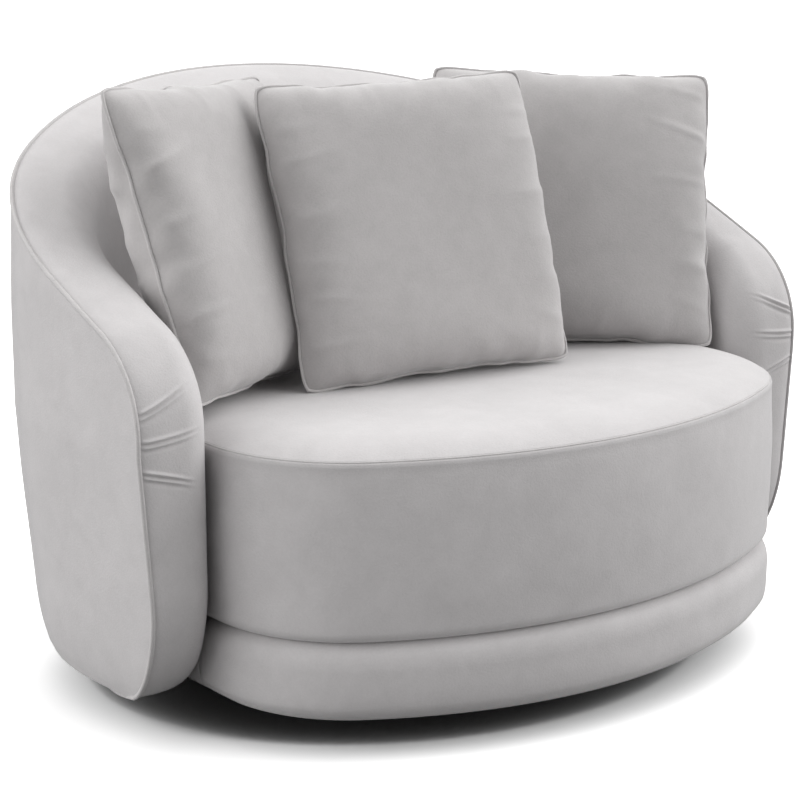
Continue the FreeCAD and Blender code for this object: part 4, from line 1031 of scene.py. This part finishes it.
class ChairColours(bpy.types.PropertyGroup):
    velvet: colour_setting("Velvet", "Pale grey velvet of the tub and seat", (0.555, 0.538, 0.54))
    # Painted shade: the cushion velvet is set darker than the tub velvet, standing in for the shade
    # that falls on the leaning cushions
    cushion: colour_setting("Cushions", "Velvet of the scatter cushions", (0.475, 0.459, 0.458))
    welt: colour_setting("Piping", "Velvet of the piping", (0.53, 0.514, 0.512))
    lining: colour_setting("Lining", "Cloth under the chair", (0.02, 0.02, 0.02))
    webbing: colour_setting("Webbing", "Elastic webbing of the back", (0.06, 0.055, 0.05))
    felt: colour_setting("Felt", "Pad over the springs", (0.17, 0.16, 0.15))
    plywood: colour_setting("Plywood", "Frame rails and panels", (0.48, 0.31, 0.16))
    # The base colour also serves as painted shadow on the deck board and lower tub rail
    board: colour_setting("Base", "Stained round base", (0.012, 0.012, 0.012))
    steel: colour_setting("Plated steel", "Swivel plates, balls and screws", (0.52, 0.53, 0.55))
    spring: colour_setting("Spring steel", "Oiled spring wire", (0.16, 0.17, 0.19))
    rubber: colour_setting("Rubber", "Glides under the base", (0.02, 0.02, 0.02))
    zip: colour_setting("Zip", "Coil and tape of the zips", (0.3, 0.29, 0.28))


class StageSettings(bpy.types.PropertyGroup):
    sky: number_setting("Sky", "Light from above and behind", 2.25)
    left: number_setting("Left", "Light from the left", 3.7)
    right: number_setting("Right", "Light from the right", 4.2)
    fill: number_setting("Fill", "Light from the whole sky", 0.12)
    lens: number_setting("Lens", "Focal length in millimetres", 99.2)
    samples: bpy.props.IntProperty(name="Samples", description="Render samples", default=96, min=16)


# Operators

class CHAIR_OT_tub(bpy.types.Operator):
    """Builds the inside panel, the outside panel and the piping of the tub"""
    bl_idname = "chair.tub"
    bl_label = "Build tub covers"

    def execute(self, context):
        sizes, colours = context.scene.chair_sizes, context.scene.chair_colours
        velvet = velvet_material("Tub velvet", colours.velvet)
        upper, lower, start = inside_grids(sizes.crown / MM, sizes.fillet / MM)
        axis = np.array([0.0, 90.0, 0.0])
        shells = [cloth_shell(upper, lambda point: np.array([0.0, -0.4, 1.0]), 2.0),
                  cloth_shell(lower, lambda point: (axis - point) * np.array([1, 1, 0]), 2.0)]
        inside = add_piece("tub_inside_panel", *joined(shells), velvet, "chair", "velvet",
                           ("inside_cover", "tub_foam"))
        grid = outside_grid()
        shell = cloth_shell(grid, lambda point: point * np.array([1.0, 1.0, 0.0]), 1.6)
        add_piece("tub_outside_panel", *shell, velvet, "chair", "velvet", ("outside_cover",))
        welt = velvet_material("Piping velvet", colours.welt, 1.4)
        half = start + np.array([1.2, 0.0, 0.0])
        curl = half[0] + np.array([[-3, 46, 0.5], [-1, 30, 0], [0, 15, -0.5]])
        side = np.concatenate([curl, half])
        path = np.concatenate([side, side[-2::-1] * np.array([-1.0, 1.0, 1.0])])
        add_piece("tub_welt", *tube(resample(path, 5.0), sizes.welt / MM), welt, "chair",
                  "velvet_piping", ("tub_piping",))
        return {"FINISHED"}


class CHAIR_OT_seat(bpy.types.Operator):
    """Builds the seat cushion with its seam, and its zip"""
    bl_idname = "chair.seat"
    bl_label = "Build seat cushion"

    def execute(self, context):
        sizes, colours = context.scene.chair_sizes, context.scene.chair_colours
        velvet = velvet_material("Seat velvet", colours.velvet)
        grid = seat_grid()
        out = normals(grid)
        out = out * np.sign(out[-20, 84, 2])
        free = smooth((grid[..., 2] - 180) / 40) * smooth(np.abs(grid[..., 2] - 412) / 25)
        front = smooth((-190 - grid[..., 1]) / 60)
        wave = 1.2 * ripple(grid[..., 0] * 0.8, grid[..., 2] + 0.5 * grid[..., 1], 23)
        grid = grid + out * (wave * free * front)[..., None]
        pad = add_piece("seat_pad", *closed_rings(grid), velvet, "seat_cushion", "velvet",
                        ("seat_foam", "seat_band_cover", "seat_top_cover", "seat_under_cloth"))
        welt = velvet_material("Seam velvet", colours.welt, 1.2)
        loop = seat_loop(SEAM_HEIGHT - 0.4, 6.6, 0.0)
        add_piece("seat_welt", *tube(loop, 1.5, closed=True, sides=8), welt, "seat_cushion",
                  "velvet_piping", ("seat_seam",))
        low, high = (np.array(corner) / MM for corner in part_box("seat_zip"))
        z = (low[2] + high[2]) / 2
        inset = float(seat_band_inset(z)[0])
        share = np.linspace(0, 1, 3000)
        x, y = arch(share, SEAT_HALF - inset, INSIDE_ARCH - 1 - inset, REAR_RADIUS - inset)
        right = np.stack([x, y + inside_back(z) - INSIDE_ARCH, np.full_like(x, z)], -1)
        line = np.concatenate([right, right[-2::-1] * np.array([-1.0, 1.0, 1.0])])
        line = line[(line[:, 0] > low[0] + 3) & (line[:, 0] < high[0] - 3) & (line[:, 1] > 100)]
        line = resample(line, ZIP_PITCH)
        ahead = np.gradient(line, axis=0)
        up = np.tile([0.0, 0.0, 1.0], (len(line), 1))
        outward = np.cross(up, ahead)
        outward = outward / np.linalg.norm(outward, axis=1, keepdims=True)
        outward = outward * np.sign(outward[len(line) // 2, 1])
        tape = zip_strip(line - 1.2 * outward, up, outward, sizes.zip_width / MM)
        coil = moulded_material("Seat zip coil", colours.zip, 0.45)
        add_piece("seat_zipper", *tape, coil, "seat_cushion", "zip", ("seat_zip",))
        return {"FINISHED"}


class CHAIR_OT_border(bpy.types.Operator):
    """Builds the rounded border under the seat cushion"""
    bl_idname = "chair.border"
    bl_label = "Build border"

    def execute(self, context):
        velvet = velvet_material("Border velvet", context.scene.chair_colours.velvet)
        grid = border_grid()
        out = normals(grid)
        out = out * -np.sign(out[20, 96, 1])
        wave = 0.9 * ripple(grid[..., 0], grid[..., 2] * 1.5, 31) * smooth((-170 - grid[..., 1]) / 60)
        inner = smooth((grid[..., 2] - 54) / 20) * smooth((161 - grid[..., 2]) / 20)
        grid = grid + out * (wave * inner)[..., None]
        forms = [closed_rings(grid), border_wing(-1), border_wing(1)]
        roll = add_piece("border_roll", *joined(forms), velvet, "chair", "velvet",
                         ("border_cover", "border_foam"))
        return {"FINISHED"}


class CHAIR_OT_cushions(bpy.types.Operator):
    """Builds the three scatter cushions with their piping and zips"""
    bl_idname = "chair.cushions"
    bl_label = "Build scatter cushions"

    def execute(self, context):
        sizes, colours = context.scene.chair_sizes, context.scene.chair_colours
        # The darker cushion colour is painted shade on cloth of the same velvet as the tub
        velvet = velvet_material("Cushion velvet", colours.cushion, 1.2)
        welt = velvet_material("Cushion piping velvet", colours.welt, 1.2)
        coil = moulded_material("Cushion zip coil", colours.zip, 0.45)
        # Turn, lean and roll of each cushion in degrees, and its seed
        places = (("left", 28, 19, -2, 3), ("centre", -9, 19, 1, 8), ("right", -33, 22.5, -2.5, 12))
        for name, turn, lean, roll, seed in places:
            front, back = blown_cushion(name, sizes.pressure + 0.3 * (seed % 3), seed)
            front = puckers(doubled(softened(front, 3)), seed)
            back = puckers(doubled(softened(back, 3)), seed + 50)
            rotation = (Matrix.Rotation(np.radians(turn), 3, "Z")
                        @ Matrix.Rotation(np.radians(90 - lean), 3, "X")
                        @ Matrix.Rotation(np.radians(roll), 3, "Z"))
            spin = np.array(rotation)
            low, high = (np.array(corner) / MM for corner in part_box(name + "_cushion_piping"))
            middle = (low + high) / 2
            body = name + "_cushion"
            cover_points, cover_faces = sewn(front, back)
            nodes = [body + ending for ending in ("_pad", "_front_panel", "_back_panel")]
            cover = add_piece(body + "_cover", cover_points @ spin.T + middle, cover_faces, velvet,
                              body, "velvet", nodes)
            rim = resample(np.concatenate([rim_of(front), rim_of(front)[:1]]), 4.0)[:-1]
            rim = rim * np.array([1.004, 1.004, 1.0])
            rope = tube(rim @ spin.T + middle, sizes.cushion_welt / MM, closed=True, sides=8)
            add_piece(body + "_welt", *rope, welt, body, "velvet_piping", (body + "_piping",))
            row = int(round(CUSHION_ZIP_HEIGHT / CUSHION_SIZE * (len(back) - 1)))
            line = back[row]
            normal = normals(back)[row]
            normal = normal * -np.sign(normal[len(normal) // 2, 2])
            near = back[row + 1] - back[row - 1]
            keep = np.abs(line[:, 0]) < CUSHION_ZIP_HALF
            line, normal, near = line[keep], normal[keep], near[keep]
            near = near / np.linalg.norm(near, axis=1, keepdims=True)
            length = np.concatenate([[0], np.cumsum(np.linalg.norm(np.diff(line, axis=0), axis=1))])
            even = np.linspace(0, length[-1], int(length[-1] / ZIP_PITCH))
            line, normal, near = (np.stack([np.interp(even, length, part[:, k]) for k in range(3)], -1)
                                  for part in (line, normal, near))
            points, faces = zip_strip(line, near, normal, sizes.zip_width / MM)
            add_piece(body + "_zipper", points @ spin.T + middle, faces, coil, body, "zip",
                      (body + "_zip",))
        return {"FINISHED"}


class CHAIR_OT_fittings(bpy.types.Operator):
    """Gives the frame, springs, swivel and base their materials"""
    bl_idname = "chair.fittings"
    bl_label = "Finish fittings"

    def execute(self, context):
        colours = context.scene.chair_colours
        made = {
            "plywood": wood_material("Birch plywood", colours.plywood, 4200.0),
            "base_board": wood_material("Stained board", colours.board, 900.0),
            "bearing_steel": metal_material("Zinc plated steel", colours.steel, 0.26),
            "spring_steel": metal_material("Oiled spring steel", colours.spring, 0.34),
            "rubber": moulded_material("Glide rubber", colours.rubber, 0.62),
            "lining": cloth_material("Black lining", colours.lining, 5200.0),
            "felt": cloth_material("Grey felt", colours.felt, 1300.0),
            "webbing": cloth_material("Elastic webbing", colours.webbing, 2600.0),
            "foam": cloth_material("Foam", colours.felt, 900.0),
            "velvet": velvet_material("Plain velvet", colours.velvet),
            "velvet_piping": velvet_material("Plain piping", colours.welt),
            "zip": moulded_material("Plain zip", colours.zip, 0.45),
        }
        # Painted shadow: the deck board and lower tub rail get the near-black board colour in place of
        # tan plywood, so that the frame seen under the arm's foot reads as the shade there
        shadow_plywood = wood_material("Shadow plywood", colours.board, 4200.0)
        slots = {part["node"]: part["material_slot"] for part in frame["record"]["subparts"]}
        for name, node in frame["nodes"].items():
            # Parts painted near-black to stand in for the shadow under the chair
            painted_shadow = name in ("deck_board", "lower_tub_rail")
            node.data.materials.clear()
            node.data.materials.append(shadow_plywood if painted_shadow else made[slots[name]])
        return {"FINISHED"}


class CHAIR_OT_stage(bpy.types.Operator):
    """Builds the white floor, the light, the camera and the render settings"""
    bl_idname = "chair.stage"
    bl_label = "Build stage"

    def execute(self, context):
        scene, settings = context.scene, context.scene.chair_stage
        reach = 60.0
        square = [(-reach, -reach, 0), (reach, -reach, 0), (reach, reach, 0), (-reach, reach, 0)]
        material, shader = new_shader("White floor")
        shader.split("ShaderNodeOutputMaterial",
                     shader.plain("ShaderNodeBsdfDiffuse", Color=(1.42, 1.42, 1.42, 1)),
                     shader.plain("ShaderNodeBsdfDiffuse", Color=(0.22, 0.22, 0.22, 1)))
        stage_sheet("floor", square, material)

        # A dark sheet that the camera doesn't see keeps the shadow under the chair close
        turn = np.linspace(0, 2 * np.pi, 64, endpoint=False)
        oval = np.stack([0.53 * np.cos(turn) - 0.02, 0.44 * np.sin(turn) - 0.005,
                         np.full(64, 0.012)], axis=-1)
        dark = moulded_material("Shade card", (0.02, 0.02, 0.02), 0.8)
        stage_sheet("shade_card", oval.tolist(), dark).visible_camera = False

        world = bpy.data.worlds.new("Studio")
        world.use_nodes = True
        scene.world = world
        shader = Shader(world.node_tree)
        direction = shader.coordinates("Generated")
        x, y, z = (shader.part(direction, axis) for axis in "XYZ")

        def lobe(across, along, up, tight):
            """Soft light from one side: the cosine to its direction, raised to a power."""
            length = (across ** 2 + along ** 2 + up ** 2) ** 0.5
            facing = x * (across / length) + y * (along / length) + z * (up / length)
            return facing.highest(0.0) ** tight

        light = (z.highest(0.0) * settings.fill + lobe(0.24, 0.2, 0.9, 8.0) * settings.sky
                 + lobe(-0.93, 0.3, 0.25, 4.0) * settings.left
                 + lobe(0.86, -0.44, 0.22, 4.0) * settings.right)
        white = (1, 1, 1, 1)
        shader.split("ShaderNodeOutputWorld",
                     shader.plain("ShaderNodeBackground", Color=white, Strength=1.0),
                     shader.plain("ShaderNodeBackground", Color=white, Strength=light))

        lens = bpy.data.cameras.new("camera")
        lens.lens = settings.lens
        lens.sensor_width = 36
        camera = bpy.data.objects.new("camera", lens)
        scene.collection.objects.link(camera)
        camera.location = CAMERA_PLACE
        across, down = np.radians(CAMERA_HEADING), np.radians(CAMERA_DIP)
        looking = Vector((np.sin(across) * np.cos(down), np.cos(across) * np.cos(down),
                          -np.sin(down)))
        camera.rotation_mode = "QUATERNION"
        camera.rotation_quaternion = looking.to_track_quat("-Z", "Y")
        scene.camera = camera

        scene.render.engine = "CYCLES"
        scene.cycles.samples = settings.samples
        scene.cycles.use_denoising = True
        scene.cycles.max_bounces = 6
        scene.view_settings.view_transform = "Standard"
        scene.render.resolution_x = 800
        scene.render.resolution_y = 800
        scene.frame_set(1)
        return {"FINISHED"}


class CHAIR_PT_panel(bpy.types.Panel):
    """Sizes, colours and steps of the cuddle chair"""
    bl_label = "Cuddle chair"
    bl_idname = "CHAIR_PT_panel"
    bl_space_type = "VIEW_3D"
    bl_region_type = "UI"
    bl_category = "Chair"

    def draw(self, context):
        layout = self.layout
        for group in (context.scene.chair_sizes, context.scene.chair_colours,
                      context.scene.chair_stage):
            box = layout.box()
            for name in group.__annotations__:
                box.prop(group, name)
        for step in STEPS:
            layout.operator(step.bl_idname)


GROUPS = (ChairSizes, ChairColours, StageSettings)
STEPS = (CHAIR_OT_tub, CHAIR_OT_seat, CHAIR_OT_border, CHAIR_OT_cushions, CHAIR_OT_fittings,
         CHAIR_OT_stage)


def register():
    for kind in (*GROUPS, *STEPS, CHAIR_PT_panel):
        bpy.utils.register_class(kind)
    bpy.types.Scene.chair_sizes = bpy.props.PointerProperty(type=ChairSizes)
    bpy.types.Scene.chair_colours = bpy.props.PointerProperty(type=ChairColours)
    bpy.types.Scene.chair_stage = bpy.props.PointerProperty(type=StageSettings)


def unregister():
    del bpy.types.Scene.chair_stage
    del bpy.types.Scene.chair_colours
    del bpy.types.Scene.chair_sizes
    for kind in (CHAIR_PT_panel, *STEPS[::-1], *GROUPS[::-1]):
        bpy.utils.unregister_class(kind)


def main():
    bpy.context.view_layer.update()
    register()
    bpy.ops.chair.fittings()
    bpy.ops.chair.tub()
    bpy.ops.chair.seat()
    bpy.ops.chair.border()
    bpy.ops.chair.cushions()
    bpy.ops.chair.stage()


if __name__ == "__main__":
    main()
